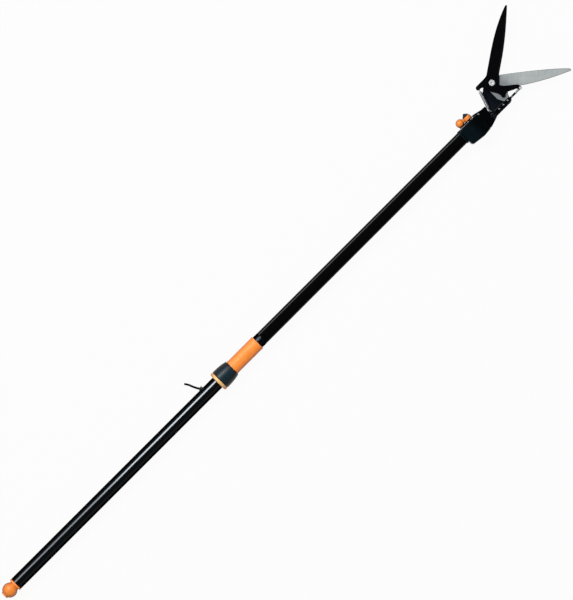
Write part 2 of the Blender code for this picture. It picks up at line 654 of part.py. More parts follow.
def build_clamp():
    """The ball-ended lever that clamps the head's tilt, with bolt and cap nut."""
    top = HOUSING_TOP + GAP
    turned("clamp_washer", [(top, CLAMP_BOLT + GAP), (top, 10.5), (top + 1.2, 10.5),
                            (top + 1.2, CLAMP_BOLT + GAP)], "Y", (0, 0, 0), MEDIUM,
           material=(STEEL, 0.35, 1.0), frame="telescope_frame")
    hub_low = top + 1.2 + GAP
    hub_high = hub_low + 14
    bore = CLAMP_BOLT + 0.2
    profile = [(hub_low, bore), (hub_low, CLAMP_HUB - 0.8), (hub_low + 1, CLAMP_HUB),
               (hub_low + 8, CLAMP_HUB), (hub_low + 11.4, CLAMP_HUB - 1.4),
               (hub_high, CLAMP_HUB - 3.4), (hub_high, bore)]
    lever = turned("clamp_lever", profile, "Y", (0, 0, 0), MEDIUM, material=(ORANGE, 0.35, 0.0),
                   frame="clamp_frame", angle=50)
    ball_profile = [(CLAMP_BALL * -math.cos(turn), CLAMP_BALL * math.sin(turn))
                    for turn in np.linspace(0, math.pi, 9)]
    ball_profile[0] = (-CLAMP_BALL, 0)
    ball_profile[-1] = (CLAMP_BALL, 0)
    ball = turned("clamp_ball", ball_profile, "X", (-CLAMP_REACH, CLAMP_BALL_Y, 0), MEDIUM,
                  frame="clamp_frame")
    neck = turned("clamp_neck", [(-CLAMP_REACH, 0), (-CLAMP_REACH, 6.6), (-CLAMP_REACH / 2, 5.2),
                                 (-4.5, 6.4), (-4.5, 0)], "X", (0, hub_low + 7, 0), 16,
                  frame="clamp_frame")
    combine(lever, neck, "UNION")
    combine(lever, ball, "UNION")
    combine(lever, pin("clamp_lever_bore", bore, 10, 70, "Y", (0, 0, 0), MEDIUM))
    turned("clamp_bolt", [(4, 0), (4, 6), (8, 6), (8, CLAMP_BOLT), (hub_high + 2, CLAMP_BOLT),
                          (hub_high + 2, 0)], "Y", (0, 0, 0), 18, material=(STEEL, 0.3, 1.0),
           frame="clamp_frame")
    cap_nut(hub_high + GAP)


def cap_nut(base):
    """A domed nut with a blind bore for the clamp bolt's end."""
    bore = CLAMP_BOLT + GAP
    turned("clamp_cap_nut", [(base + 2.4, 0), (base + 2.4, bore), (base, bore), (base, 7.6),
                             (base + 0.8, 8.2), (base + 1.8, 7.8), (base + 4.0, 5.0),
                             (base + 6.0, 2.4), (base + 6.8, 1.0), (base + 7.0, 0)],
           "Y", (0, 0, 0), 18,
           material=(BLACK, 0.3, 0.8), frame="clamp_frame")


def build_bracket():
    """The cast head bracket: web, pad, pivot boss, chain track and trunnion lug."""
    frame = "tilt_frame"
    web_outline = [(57.0, -9.0)] + arc(*ANCHOR, 4.4, 215, 100, 8)
    web_outline += [(56.6, 2.0), (71.6, 43.0)]
    web_outline += arc(PIVOT_X, PIVOT_Y, 15.0, 165, 0, 10)
    web_outline += [(119.0, 26.0), (116.5, -9.0)]
    web = plate("head_bracket", web_outline, WEB_BACK, WEB_TOP,
                material=((0.02, 0.035, 0.045), 0.45, 0.2), frame=frame)
    pad_outline = [(100.6, -9.4), (116.0, -9.4), (118.4, 26.0)]
    pad_outline += arc(PIVOT_X, PIVOT_Y, 13.2, 0, 165, 10) + [(93.0, 34.0), (92.0, 10.0)]
    combine(web, plate("bracket_pad", pad_outline, WEB_TOP - 1, PAD_TOP), "UNION")
    low, high = CHAIN_Y - 8.9, CHAIN_Y + 6.7
    half = LINK_RADIUS + 0.4
    track_outline = [(50.0, low), (TRACK_END, low), (TRACK_END + 5.2, low + 2.2),
                     (TRACK_END + 7.8, low + 4.8), (TRACK_END + 7.8, high), (50.0, high)]
    combine(web, plate("track_block", track_outline, WEB_BACK, PAD_TOP), "UNION")
    lip = plate("track_lip", [(50.0, low), (TRACK_END, low), (TRACK_END, CHAIN_Y - half),
                              (50.0, CHAIN_Y - half)], WEB_BACK, LINK_RADIUS)
    combine(web, lip, "UNION")
    lug = pin("trunnion_lug", LUG_RADIUS, -LUG_HALF, LUG_HALF, "Z", (TRUNNION_X, CHAIN_Y, 0),
              MEDIUM)
    combine(web, lug, "UNION")
    combine(web, box("chain_track", (40, 140), (CHAIN_Y - half, CHAIN_Y + half),
                     (-OUTER_PLATE - 1.6, OUTER_PLATE + 1.6)))
    combine(web, box("cable_swing", (40, TRUNNION_X + 2.6), (CHAIN_Y - 10, CHAIN_Y),
                     (-OUTER_PLATE - 1.6, OUTER_PLATE + 1.6)))
    open_front = box("track_front", (TRUNNION_X + LUG_RADIUS + 1, 140),
                     (CHAIN_Y - half, CHAIN_Y + half), (0, 20))
    combine(web, open_front)
    combine(web, pin("lug_bore", TRUNNION_RADIUS + GAP, -20, 20, "Z", (TRUNNION_X, CHAIN_Y, 0),
                     24))
    combine(web, pin("pivot_bore", BOLT_RADIUS + GAP, -20, 20, "Z", (PIVOT_X, PIVOT_Y, 0), 24))
    combine(web, pin("anchor_bore", 1.5 + 0.1, -20, 0, "Z", (*ANCHOR, 0), 12))
    for index, (x, y) in enumerate(BLADE_RIVETS):
        combine(web, pin(f"bracket_rivet_bore_{index}", 2.0 + GAP, -20, 20, "Z", (x, y, 0)))
    turned("spring_anchor_pin", [(WEB_BACK + 0.2, 0), (WEB_BACK + 0.2, 1.5), (2.4, 1.5),
                                 (2.4, 2.4), (3.4, 2.2), (3.4, 0)], "Z", (*ANCHOR, 0), SMALL,
           material=(STEEL, 0.3, 1.0), frame=frame)


def blade_curve(low, high, shape, count):
    """Points along a blade's edge, from its pivot end to its tip: offsets from
    the blade's centre line as a function of the share of its length."""
    shares = np.linspace(low, high, count)
    return [(share * BLADE_LENGTH, shape(share)) for share in shares]


def turned_about_pivot(points, angle):
    turn = math.radians(angle)
    return [(PIVOT_X + u * math.cos(turn) - v * math.sin(turn),
             PIVOT_Y + u * math.sin(turn) + v * math.cos(turn)) for u, v in points]


def full_then_tapering(width, tip, start, power):
    """A width that stays until a share of the length and then falls to the tip's."""
    def shape(share):
        late = max(0.0, (share - start) / (1 - start))
        return width - (width - tip) * late ** power
    return shape


def blade_solid(name, outline, edge, low, high, flat_low, material, frame):
    """A plate whose cutting edge is bevelled. edge lists the points of the
    outline that lie on the cutting edge, and flat_low says which face is flat."""
    pushed = inset(outline, BEVEL_WIDTH)
    bevelled = list(outline)
    for index in edge:
        to_tip = BLADE_LENGTH - math.dist(outline[index], (PIVOT_X, PIVOT_Y))
        share = min(1.0, max(0.1, to_tip / BEVEL_FADE))
        (x, y), (inner_x, inner_y) = outline[index], pushed[index]
        bevelled[index] = (x + (inner_x - x) * share, y + (inner_y - y) * share)
    thin = 0.5
    if flat_low:
        rings = [(low, outline), (low + thin, outline), (high, bevelled)]
    else:
        rings = [(low, bevelled), (high - thin, outline), (high, outline)]
    return loft(name, [[(x, y, z) for x, y in ring] for z, ring in rings],
                material=material, frame=frame, angle=20)


def build_fixed_blade():
    """The satin steel blade, riveted and bolted to the bracket."""
    def cutting(share):
        return 17.9 - 10.5 * share ** 1.8 - 2.5 * share ** 8
    spine = full_then_tapering(-18.8, -1.5, 0.2, 2.2)
    back = turned_about_pivot(blade_curve(0.30, 0.985, spine, 12), FIXED_ANGLE)
    tip = turned_about_pivot([(FIXED_TIP - 3.6, -2.3), (FIXED_TIP - 1.2, -1.0),
                              (FIXED_TIP, 0.9), (FIXED_TIP - 1.0, 3.2),
                              (FIXED_TIP - 3.0, 4.8)], FIXED_ANGLE)
    front = turned_about_pivot(blade_curve(0.12, 0.985, cutting, 14), FIXED_ANGLE)[::-1]
    tail = rounded([(98.8, -10.2, 0), (116.5, -10.2, 2), (120.0, -2.0, 3), (127.0, 4.0, 0)], 3)
    boss = arc(PIVOT_X, PIVOT_Y, 14.2, 45, 160, 10)
    side = [(92.0, 40.0), (90.2, 33.0), (90.2, 9.2), (91.2, 4.0), (93.6, -1.2)]
    outline = tail + back + tip + front + boss + side
    first = len(tail) + len(back) + len(tip)
    edge = range(first, first + len(front) - 1)
    blade = blade_solid("fixed_blade", outline, edge, FIXED_BASE, FIXED_BASE + BLADE_THICK, False,
                        (STEEL, 0.32, 1.0), "tilt_frame")
    combine(blade, pin("fixed_pivot_bore", BOLT_RADIUS + GAP, -20, 20, "Z",
                       (PIVOT_X, PIVOT_Y, 0), 24))
    for index, (x, y) in enumerate(BLADE_RIVETS):
        combine(blade, pin(f"blade_rivet_bore_{index}", 2.0 + GAP, -20, 20, "Z", (x, y, 0)))
        top = FIXED_BASE + BLADE_THICK - 0.2
        turned(f"blade_rivet_{index + 1}", [(WEB_BACK - 1.6, 0), (WEB_BACK - 1.4, 2.6),
                                            (WEB_BACK - GAP, 3.6), (WEB_BACK - GAP, 2.0),
                                            (top, 2.0), (top, 0)], "Z", (x, y, 0), SMALL,
               material=(STEEL, 0.3, 1.0), frame="tilt_frame")


def moving_outline():
    """The black blade: spine, tip, cutting edge, chain arm, inner notch, spring arm."""
    spine = full_then_tapering(17.6, 2.0, 0.3, 2.5)
    edge_shape = full_then_tapering(-14.5, -2.4, 0.35, 1.7)
    edge = turned_about_pivot(blade_curve(0.13, 0.985, edge_shape, 11), OPEN_ANGLE)
    tip = turned_about_pivot([(BLADE_LENGTH - 0.8, -1.9), (BLADE_LENGTH + 0.3, -0.3),
                              (BLADE_LENGTH - 0.6, 1.3)], OPEN_ANGLE)
    back = turned_about_pivot(blade_curve(0.17, 0.985, spine, 10), OPEN_ANGLE)[::-1]
    x, y = PIVOT_X, PIVOT_Y
    top = catmull([(x + 4, y + 24.0), (x - 5, y + 22.3), (x - 20, y + 22.0)], 3)
    arm_end = arc(*SPRING_EYE, 6.6, 92, 215, 8)
    notch = catmull([(x - 32.0, y + 9.8), (x - 27.5, y + 9.2), (x - 24.4, y + 5.2),
                     (x - 24.0, y - 2.0), (x - 18.7, y - 12.9), (x - 13.5, y - 20.7),
                     (x - 8.3, y - 29.8)], 3)
    nub = arc(x - 1.5, y - 43.4, 5.9, 140, 330, 9)
    under = catmull([(x + 8.6, y - 43.8), (x + 16, y - 46.7), (x + 26.8, y - 52.3),
                     (x + ARM_REACH - 9, y - ARM_HEIGHT + 6.2)], 3)
    arm_tip = arc(ARM_X, CHAIN_Y, 3.8, 190, 400, 9)
    over = catmull([(x + 43.0, y - 53.4), (x + 32.0, y - 44.1), (x + 20.3, y - 32.4),
                    (x + 15.1, y - 25.9), (x + 9.9, y - 16.8)], 3)
    before = [tuple(p) for p in top] + arm_end + [tuple(p) for p in notch] + nub
    before += [tuple(p) for p in under] + arm_tip + [tuple(p) for p in over]
    outline = before + edge + tip + back
    return outline, range(len(before) + 2, len(before) + len(edge))


def build_moving_blade():
    """The coated blade with its two arms, its chain pin and its spring post."""
    outline, edge = moving_outline()
    frame = "blade_frame"
    blade = blade_solid("moving_blade", outline, edge, MOVING_BASE, MOVING_TOP, True,
                        (BLACK, 0.4, 0.3), frame)
    combine(blade, pin("moving_pivot_bore", BOLT_RADIUS + GAP, -20, 20, "Z",
                       (PIVOT_X, PIVOT_Y, 0), 24))
    combine(blade, pin("arm_pin_bore", 2.0 + GAP, -20, 20, "Z", (ARM_X, CHAIN_Y, 0)))
    combine(blade, pin("spring_post_bore", 1.6 + GAP, -20, 20, "Z", (*SPRING_EYE, 0)))
    low = OUTER_PLATE + PLATE_THICK + 0.3 + GAP
    high = MOVING_TOP + GAP
    turned("arm_pin", [(low, 0), (low, 2.0), (high, 2.0), (high, 3.3), (high + 0.6, 3.3),
                       (high + 1.0, 2.8), (high + 1.0, 0)], "Z", (ARM_X, CHAIN_Y, 0), 18,
           material=(STEEL, 0.3, 1.0), frame=frame)
    turned("spring_post", [(MOVING_BASE - 0.2, 0), (MOVING_BASE - 0.2, 1.6), (high, 1.6),
                           (high, 2.6), (high + 0.7, 2.2), (high + 0.7, 0)], "Z",
           (*SPRING_EYE, 0), SMALL, material=(STEEL, 0.35, 1.0), frame=frame)


def build_pivot():
    """The blade bolt with its washer and nut."""
    frame = "tilt_frame"
    place = (PIVOT_X, PIVOT_Y, 0)
    high = MOVING_TOP + GAP
    nut_top = WEB_BACK - GAP - 1.2 - GAP
    nut_low = nut_top - 5
    turned("pivot_bolt", [(nut_low - 1.5, 0), (nut_low - 1.5, BOLT_RADIUS - 0.6),
                          (nut_low - 0.9, BOLT_RADIUS), (high, BOLT_RADIUS), (high, BOLT_HEAD),
                          (high + 1.8, BOLT_HEAD), (high + 3.0, BOLT_HEAD - 1.0),
                          (high + 3.7, BOLT_HEAD - 3.0), (high + 3.9, 2.8), (high + 3.0, 2.2),
                          (high + 3.0, 0)], "Z", place, 24, material=(STEEL, 0.25, 1.0),
           frame=frame, angle=30)
    turned("pivot_washer", [(WEB_BACK - GAP, BOLT_RADIUS + GAP), (WEB_BACK - GAP, 9.0),
                            (WEB_BACK - GAP - 1.2, 9.0),
                            (WEB_BACK - GAP - 1.2, BOLT_RADIUS + GAP)], "Z", place, MEDIUM,
           material=(STEEL, 0.3, 1.0), frame=frame)
    nut = plate("pivot_nut", disc(PIVOT_X, PIVOT_Y, 7.5, 6), nut_low, nut_top,
                material=(STEEL, 0.3, 1.0), frame=frame)
    combine(nut, pin("nut_bore", BOLT_RADIUS + GAP, -30, 0, "Z", place, 20))


def link_outline(first, second):
    """The side view of a chain plate: two round eyes with a waist between them."""
    middle = (first + second) / 2
    outline = arc(second, CHAIN_Y, LINK_RADIUS, -60, 60, 5) + [(middle, CHAIN_Y + LINK_WAIST)]
    outline += arc(first, CHAIN_Y, LINK_RADIUS, 120, 240, 5) + [(middle, CHAIN_Y - LINK_WAIST)]
    return outline


def chain_link(name, first, second, outer):
    """An outer link has two pins through its plates, an inner link two bushes."""
    frame = "chain_frame"
    base = OUTER_PLATE if outer else INNER_PLATE
    outline = link_outline(first, second)
    link = plate(name, outline, base, base + PLATE_THICK, material=(STEEL, 0.3, 1.0), frame=frame)
    other = plate(f"{name}_plate", outline, -base - PLATE_THICK, -base, frame=frame)
    combine(link, other, "UNION")
    reach = OUTER_PLATE + PLATE_THICK + 0.3
    for index, x in enumerate((first, second)):
        if outer:
            rod = pin(f"{name}_pin_{index}", LINK_PIN, -reach, reach, "Z", (x, CHAIN_Y, 0), 8,
                      frame=frame)
            combine(link, rod, "UNION")
        else:
            bush = pin(f"{name}_bush_{index}", 2.3, -INNER_PLATE - 0.2, INNER_PLATE + 0.2, "Z",
                       (x, CHAIN_Y, 0), 8, frame=frame)
            combine(link, bush, "UNION")
            bore = pin(f"{name}_bore_{index}", LINK_PIN + GAP, -5, 5, "Z", (x, CHAIN_Y, 0), 8,
                       frame=frame)
            combine(link, bore)


def build_chain():
    """Links from the tilt axis to the blade's arm, outer and inner in turn."""
    pitch = (ARM_X - CHAIN_START) / CHAIN_LINKS
    places = [TRUNNION_X] + [CHAIN_START + pitch * step for step in range(CHAIN_LINKS + 1)]
    for index, (first, second) in enumerate(zip(places, places[1:])):
        chain_link(f"chain_link_{index + 1}", first, second, index % 2 == 0)


def tube_along(name, points, radius, resolution, material, frame):
    """A closed tube along points, from a curve with a round bevel."""
    origin = joint_frames[frame][1]
    curve = bpy.data.curves.new(name, "CURVE")
    curve.dimensions = "3D"
    curve.bevel_depth = radius * MM
    curve.bevel_resolution = resolution
    curve.use_fill_caps = True
    spline = curve.splines.new("POLY")
    spline.points.add(len(points) - 1)
    for target, (x, y, z) in zip(spline.points, points):
        place = Vector((x, y, z + AXIS_HEIGHT)) * MM - origin
        target.co = (*place, 1.0)
    part = bpy.data.objects.new(name, curve)
    bpy.context.scene.collection.objects.link(part)
    part.parent = joint_frames[frame][0]
    curve.materials.append(make_material(name, *material))
    return part


def build_pull_line():
    """Rod in the pole, cable to the housing and the eye at the chain's first pin."""
    frame = "pull_frame"
    rod_start, rod_end = INNER_START - 50, -95.0
    profile = [(rod_start, 0), (rod_start, ROD_RADIUS), (rod_end, ROD_RADIUS), (rod_end, 0)]
    turned("pull_rod", profile, "X", (0, 0, 0), 16, material=(STEEL, 0.35, 1.0), frame=frame)
    eye_end = TRUNNION_X - 9.0
    points = []
    for share in np.linspace(0, 1, 13):
        x = rod_end + GAP + (eye_end - GAP - rod_end - GAP) * share
        bend = min(1.0, max(0.0, (share - 0.08) / 0.55))
        points.append((x, CHAIN_Y * (bend * bend * (3 - 2 * bend)), 0))
    tube_along("pull_cable", points, 1.5, 2, (BLACK, 0.5, 0.6), frame)
    outline = arc(TRUNNION_X, CHAIN_Y, 3.2, -150, 150, 13)
    outline += [(eye_end, CHAIN_Y + 1.8), (eye_end, CHAIN_Y - 1.8)]
    eye = plate("cable_eye", outline, -1.9, 1.9, material=(STEEL, 0.3, 1.0), frame=frame)
    combine(eye, pin("cable_eye_bore", LINK_PIN + GAP, -5, 5, "Z", (TRUNNION_X, CHAIN_Y, 0), 12,
                     frame=frame))


def spring_eye(name, place, aim, frame, low, high, hole):
    """A flat eye with a round shank that screws into the end of the coil."""
    direction = Vector((aim[0] - place[0], aim[1] - place[1])).normalized()
    heading = math.degrees(math.atan2(direction.y, direction.x))
    outline = arc(*place, 3.8, heading + 28, heading + 332, 15)
    stem = [Vector(place) + direction * EYE_LENGTH + Vector((-direction.y, direction.x)) * side
            for side in (-1.7, 1.7)]
    outline += [tuple(point) for point in stem]
    eye = plate(name, outline, low, high, material=(STEEL, 0.35, 1.0), frame=frame)
    bm = bmesh.new()
    bmesh.ops.create_cone(bm, cap_ends=True, segments=12, radius1=2.1, radius2=2.1, depth=9.0)
    turn = Vector((0, 0, 1)).rotation_difference(Vector((direction.x, direction.y, 0)))
    middle = Vector((*place, SPRING_Z)) + Vector((direction.x, direction.y, 0)) * (EYE_LENGTH + 3)
    for vert in bm.verts:
        vert.co = turn @ vert.co + middle
    combine(eye, finish_mesh(f"{name}_shank", bm, None, frame), "UNION")
    combine(eye, pin(f"{name}_bore", hole, -20, 20, "Z", (*place, 0), 12, frame=frame))


def build_spring():
    """The return spring: one helix between two screwed-in eyes."""
    spring_eye("spring_eye_lower", ANCHOR, SPRING_EYE, "anchor_frame", SPRING_Z - 1.5,
               SPRING_Z + 1.5, 1.5 + GAP)
    spring_eye("spring_eye_upper", SPRING_EYE, ANCHOR, "spring_frame", SPRING_Z + 0.4,
               MOVING_BASE - 0.2 - GAP, 0.8)
    start, end = Vector((*ANCHOR, SPRING_Z)), Vector((*SPRING_EYE, SPRING_Z))
    forward = (end - start).normalized()
    side = Vector((-forward.y, forward.x, 0))
    up = Vector((0, 0, 1))
    first = EYE_LENGTH + GAP + SPRING_WIRE
    length = (end - start).length - 2 * first
    count = SPRING_CURLS * SPRING_POINTS + 1
    shares = np.linspace(0, 1, count)
    points = []
    for share in shares:
        turn = 2 * math.pi * SPRING_CURLS * share
        place = start + forward * (first + length * share)
        place += side * SPRING_MEAN * math.cos(turn) + up * SPRING_MEAN * math.sin(turn)
        points.append(tuple(place))
    tube_along("return_spring", points, SPRING_WIRE, 1, (STEEL, 0.35, 1.0), "anchor_frame")
    path = np.array(points)
    apart = np.linalg.norm(path[:, None] - path[None], axis=2) - 2 * SPRING_WIRE
    near = np.abs(np.subtract.outer(np.arange(count), np.arange(count))) < SPRING_POINTS // 2
    apart[near] = 99
    print("least gap of the spring to itself, mm:", round(float(apart.min()), 2))


def build_frames():
    """Empties on the joints' axes."""
    joint_frame("knob_frame", KNOB_CENTRE, 0)
    joint_frame("lever_frame", LEVER_X, LEVER_PIVOT_Y)
    joint_frame("plunger_frame", LEVER_X + PLUNGER_REACH, INNER_RADIUS)
    joint_frame("telescope_frame", POLE_STEP, 0)
    joint_frame("clamp_frame", 0, HOUSING_TOP, 0, "telescope_frame")
    joint_frame("pull_frame", TRUNNION_X, CHAIN_Y, 0, "telescope_frame")
    joint_frame("tilt_frame", TRUNNION_X, CHAIN_Y, 0, "telescope_frame")
    joint_frame("blade_frame", PIVOT_X, PIVOT_Y, 0, "tilt_frame")
    joint_frame("chain_frame", ARM_X, CHAIN_Y, 0, "tilt_frame")
    joint_frame("anchor_frame", *ANCHOR, 0, "tilt_frame")
    joint_frame("spring_frame", *SPRING_EYE, 0, "anchor_frame")


def print_motion():
    """The joint values that the linkage works out to."""
    swing = math.radians(CLOSE_TURN)
    post = Vector((SPRING_EYE[0] - PIVOT_X, SPRING_EYE[1] - PIVOT_Y))
    closed = Vector((post.x * math.cos(swing) + post.y * math.sin(swing),
                     -post.x * math.sin(swing) + post.y * math.cos(swing)))
    pivot = Vector((PIVOT_X, PIVOT_Y))
    rest = pivot + post - Vector(ANCHOR)
    pulled = pivot + closed - Vector(ANCHOR)
    turn = math.atan2(rest.y, rest.x) - math.atan2(pulled.y, pulled.x)
    stretch = pulled.length - rest.length
    print("stroke mm", STROKE, "ratio m/rad", STROKE * MM / swing)
    print("spring swing deg", math.degrees(turn), "ratio", turn / swing)
    print("spring stretch mm", stretch, "ratio m/rad", stretch * MM / swing)
    print("spring direction", tuple(rest.normalized()))
    print("arm pin", ARM_X, CHAIN_Y, "spring eye", SPRING_EYE, "clamp ball y", CLAMP_BALL_Y)


def build():
    clear_scene()
    build_frames()
    build_lower_pole()
    build_grip()
    build_knob()
    build_telescope_lock()
    build_upper_pole()
    build_housing()
    build_clamp()
    build_bracket()
    build_fixed_blade()
    build_moving_blade()
    build_pivot()
    build_chain()
    build_pull_line()
    build_spring()
    print_motion()


build()
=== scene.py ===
"""Looks of the telescopic hedge shears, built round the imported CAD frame.

Sizes are millimetres in the CAD's own frame: x runs along the pole from the ball knob to
the blades, y across it and z up towards the camera, counted from the pole's centre line.
"""

import math

import bmesh
import bpy
import numpy as np
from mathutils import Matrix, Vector
from mathutils.geometry import tessellate_polygon


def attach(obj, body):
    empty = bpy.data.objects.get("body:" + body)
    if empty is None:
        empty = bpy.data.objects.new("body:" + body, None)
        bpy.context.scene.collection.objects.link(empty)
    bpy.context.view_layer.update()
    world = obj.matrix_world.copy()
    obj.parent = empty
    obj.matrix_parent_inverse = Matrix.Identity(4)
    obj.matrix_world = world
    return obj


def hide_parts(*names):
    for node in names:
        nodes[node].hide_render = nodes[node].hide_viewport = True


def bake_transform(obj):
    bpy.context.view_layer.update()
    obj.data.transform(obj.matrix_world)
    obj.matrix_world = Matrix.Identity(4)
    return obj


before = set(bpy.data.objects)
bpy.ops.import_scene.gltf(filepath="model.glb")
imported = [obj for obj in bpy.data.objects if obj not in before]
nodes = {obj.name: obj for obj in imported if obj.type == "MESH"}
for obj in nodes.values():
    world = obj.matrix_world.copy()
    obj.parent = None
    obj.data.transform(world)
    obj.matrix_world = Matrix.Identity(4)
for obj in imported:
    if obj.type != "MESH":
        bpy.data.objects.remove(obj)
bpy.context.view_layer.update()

MM = 0.001
AXIS = 28.0  # height of the pole's centre line over the floor
GAP = 0.3  # between two pieces that touch

# Camera and studio, in metres
TURN = math.radians(44.98)  # the pole's angle in the photograph
VIEW_WIDTH = 1.56  # what the long side of the frame takes in
VIEW_CENTRE = (-0.6664, 0.0250, 0.028)
LENS, SENSOR = 300.0, 36.0
FLOOR_SIZE, FLOOR_DROP = 16.0, 0.0006
FLOOR_GREY, FLOOR_GLOW = 0.45, 0.95
HORIZON, ZENITH, ZENITH_FROM, FILL = 0.4, 0.055, 0.8, 0.5
LAMP_ANGLE, LAMP_DISTANCE, LAMP_WIDTH = 36, 6.0, 2.6
LAMPS = {"key": (3.1, 280, -0.17), "key_tail": (1.6, 52, -2.52)}  # length, power, middle

# Pole and grip
TUBE, WALL = 18.0, 1.5
LOWER_START, LOWER_END = -1684.3, -806.0
POLE_STEP, UPPER_START, UPPER_END = -797.4, -780.8, -10.0
INNER, INNER_WALL, INNER_START = 15.0, 1.5, -1550.0
PULL_TUBE, PULL_TUBE_END = 4.5, -900.0
ROD, ROD_START, ROD_END = 2.5, -1600.0, -95.0
RING, RING_LENGTH = 27.8, 9.0
FLARE_LENGTH, SHOULDER = 44.7, 23.0
SLEEVE, SLEEVE_LENGTH = 20.8, 93.1
KNOB, KNOB_X, NECK, BOSS = 19.8, LOWER_START - 23.9, 13.8, 10.4
COLLAR_LENGTH, SPIGOT_LENGTH = 6.2, 22.0
PROFILE = (36.0, 27.0, 8.5)  # width, depth and corner of the flat-sided tube
PROFILE_WALL = 1.6
SLOT_START, SLOT_HALF = -49.1, 4.5

# Telescope lock
LEVER_X, LEVER_Y, LEVER_HALF = -989.0, TUBE + 4.2, 5.0
PLUNGER_X = LEVER_X + 5.6

# Housing and tilt clamp
HOUSING_START, HOUSING_TOP = -45.5, 18.7
EAR_DEPTH = 17.0
SCREWS, SCREW_TOP = [(-29.0, -22.6), (12.0, -26.4), (14.0, 11.6)], -24.3
TRUNNION = (52.0, -14.8, 0.0)
RIVET, RIVET_HEAD = (27.2, 13.3, 0.0), 3.0
CLAMP_HUB, CLAMP_BALL, CLAMP_REACH = 11.6, 11.4, 23.4
CLAMP_BALL_Y = HOUSING_TOP + 11.8
CLAMP_BOLT, CLAMP_WASHER = 3.5, 1.2
SEAT_TOP, SEAT_END = 22.8, 8.8  # the lever's black seat under the hub and the ball

# Blades
PIVOT = (109.7, 46.8, 0.0)
BOLT_HOLE = 4.3
BLADE_LENGTH, OPEN_ANGLE, FIXED_ANGLE = 206.2, 34.6, -35.7
FIXED_TIP = BLADE_LENGTH + 3.3
FIXED_BASE, FIXED_TOP = 0.9, 3.6
MOVING_BASE, MOVING_TOP = 3.9, 6.9
BEVEL_WIDTH, BEVEL_FADE = 4.5, 70.0
WEB_BACK = -7.5
BLADE_RIVETS = [(99.0, 24.0), (101.0, 0.0)]
ARM = (153.26, -14.8)

# Chain and return spring
CHAIN_Y, CHAIN_START, LINK_END, LINK_WAIST = -14.8, 61.0, 3.3, 2.9
OUTER_BASE, INNER_BASE, LINK_PLATE = 2.3, 1.3, 0.7
PIN_REACH = OUTER_BASE + LINK_PLATE + 0.3
ANCHOR, SPRING_EYE, SPRING_Z = (53.6, -3.0), (75.4, 62.2), -0.4
SPRING_WIRE, SPRING_MEAN, SPRING_CURLS, SPRING_FIRST = 0.80, 3.45, 27, 10.95


# ---------------- shapes

def eased(points, cut=0.4, closed=True, steps=4):
    """Rounds the corners of a line: each corner sharper than 12 degrees becomes a parabola
    that leaves its two sides at the distance cut, or at 45% of a shorter side."""
    points = np.asarray(points, float)
    sides = [np.roll(points, turn, axis=0) - points for turn in (1, -1)]
    spans = [np.maximum(np.linalg.norm(side, axis=1, keepdims=True), 1e-9) for side in sides]
    cosine = (sides[0] * sides[1]).sum(1) / (spans[0] * spans[1])[:, 0]
    cut = np.where(cosine < -math.cos(math.radians(12)), 0, cut).astype(float)[:, None]
    if not closed:
        cut[[0, -1]] = 0
    first, last = (points + side / span * np.minimum(cut, 0.45 * span)
                   for side, span in zip(sides, spans))
    t = np.linspace(0, 1, steps + 1)[None, :, None]
    curve = ((1 - t) ** 2 * first[:, None] + 2 * t * (1 - t) * points[:, None]
             + t * t * last[:, None]).reshape(-1, points.shape[1])
    moved = np.linalg.norm(curve - np.roll(curve, 1, axis=0), axis=1) > 1e-4
    if not closed:
        moved[0] = True
    return curve[moved]


def grid(rows, columns, wrap=True, base=0, step=None):
    """Quads between neighbouring rows of points, closed round the rows where wrap is true."""
    step = columns if step is None else step
    r, c = np.meshgrid(np.arange(rows - 1), np.arange(columns if wrap else columns - 1),
                       indexing="ij")
    here, ahead = base + r * step + c, base + r * step + (c + 1) % columns
    return np.stack([here, ahead, ahead + step, here + step], -1).reshape(-1, 4).tolist()


def revolved(profile, axis="X", centre=(0, 0, 0), sides=96, ease=0.4):
    """A profile of (distance along the axis, radius) turned once round the axis. A profile
    that stays off the axis is closed on itself and has a bore."""
    bored = profile[0][1] > 0
    line = eased(profile, ease, bored)
    if bored:
        line = np.vstack([line, line[:1]])
    turn = np.arange(sides) * 2 * np.pi / sides
    along = np.repeat(line[:, :1], sides, axis=1)
    u, v = line[:, 1:] * np.cos(turn), line[:, 1:] * np.sin(turn)
    order = {"X": (along, u, v), "Y": (v, along, u), "Z": (u, v, along)}[axis]
    return np.stack(order, -1).reshape(-1, 3) + centre, grid(len(line), sides)


def straight(start, end, outer, inner=0):
    """The profile of a straight tube, or of a round bar where the inner radius is 0."""
    return [(start, inner), (start, outer), (end, outer), (end, inner)]


def mirrored(half):
    """A profile from its half above the middle: the same again below, in reverse."""
    return [(-along, radius) for along, radius in half[::-1]] + half


def arc(x, y, radius, start, end, count=24):
    """Points at one radius round (x, y), at even steps from start to end in degrees."""
    turn = np.radians(np.linspace(start, end, count))
    return np.stack([x + radius * np.cos(turn), y + radius * np.sin(turn)], -1)


def disc(x, y, radius, sides=32):
    """A circle's outline: an arc all round, without its last point."""
    return arc(x, y, radius, 0, 360 - 360 / sides, sides)


def rounded_box(width, depth, corner, count=12):
    """A rounded rectangle's outline, counter-clockwise: a quarter arc at each corner, width
    along the first axis."""
    w, d = width / 2 - corner, depth / 2 - corner
    return np.vstack([arc(x * w, y * d, corner, start, start + 90, count)
                      for x, y, start in ((1, 1, 0), (-1, 1, 90), (-1, -1, 180), (1, -1, 270))])


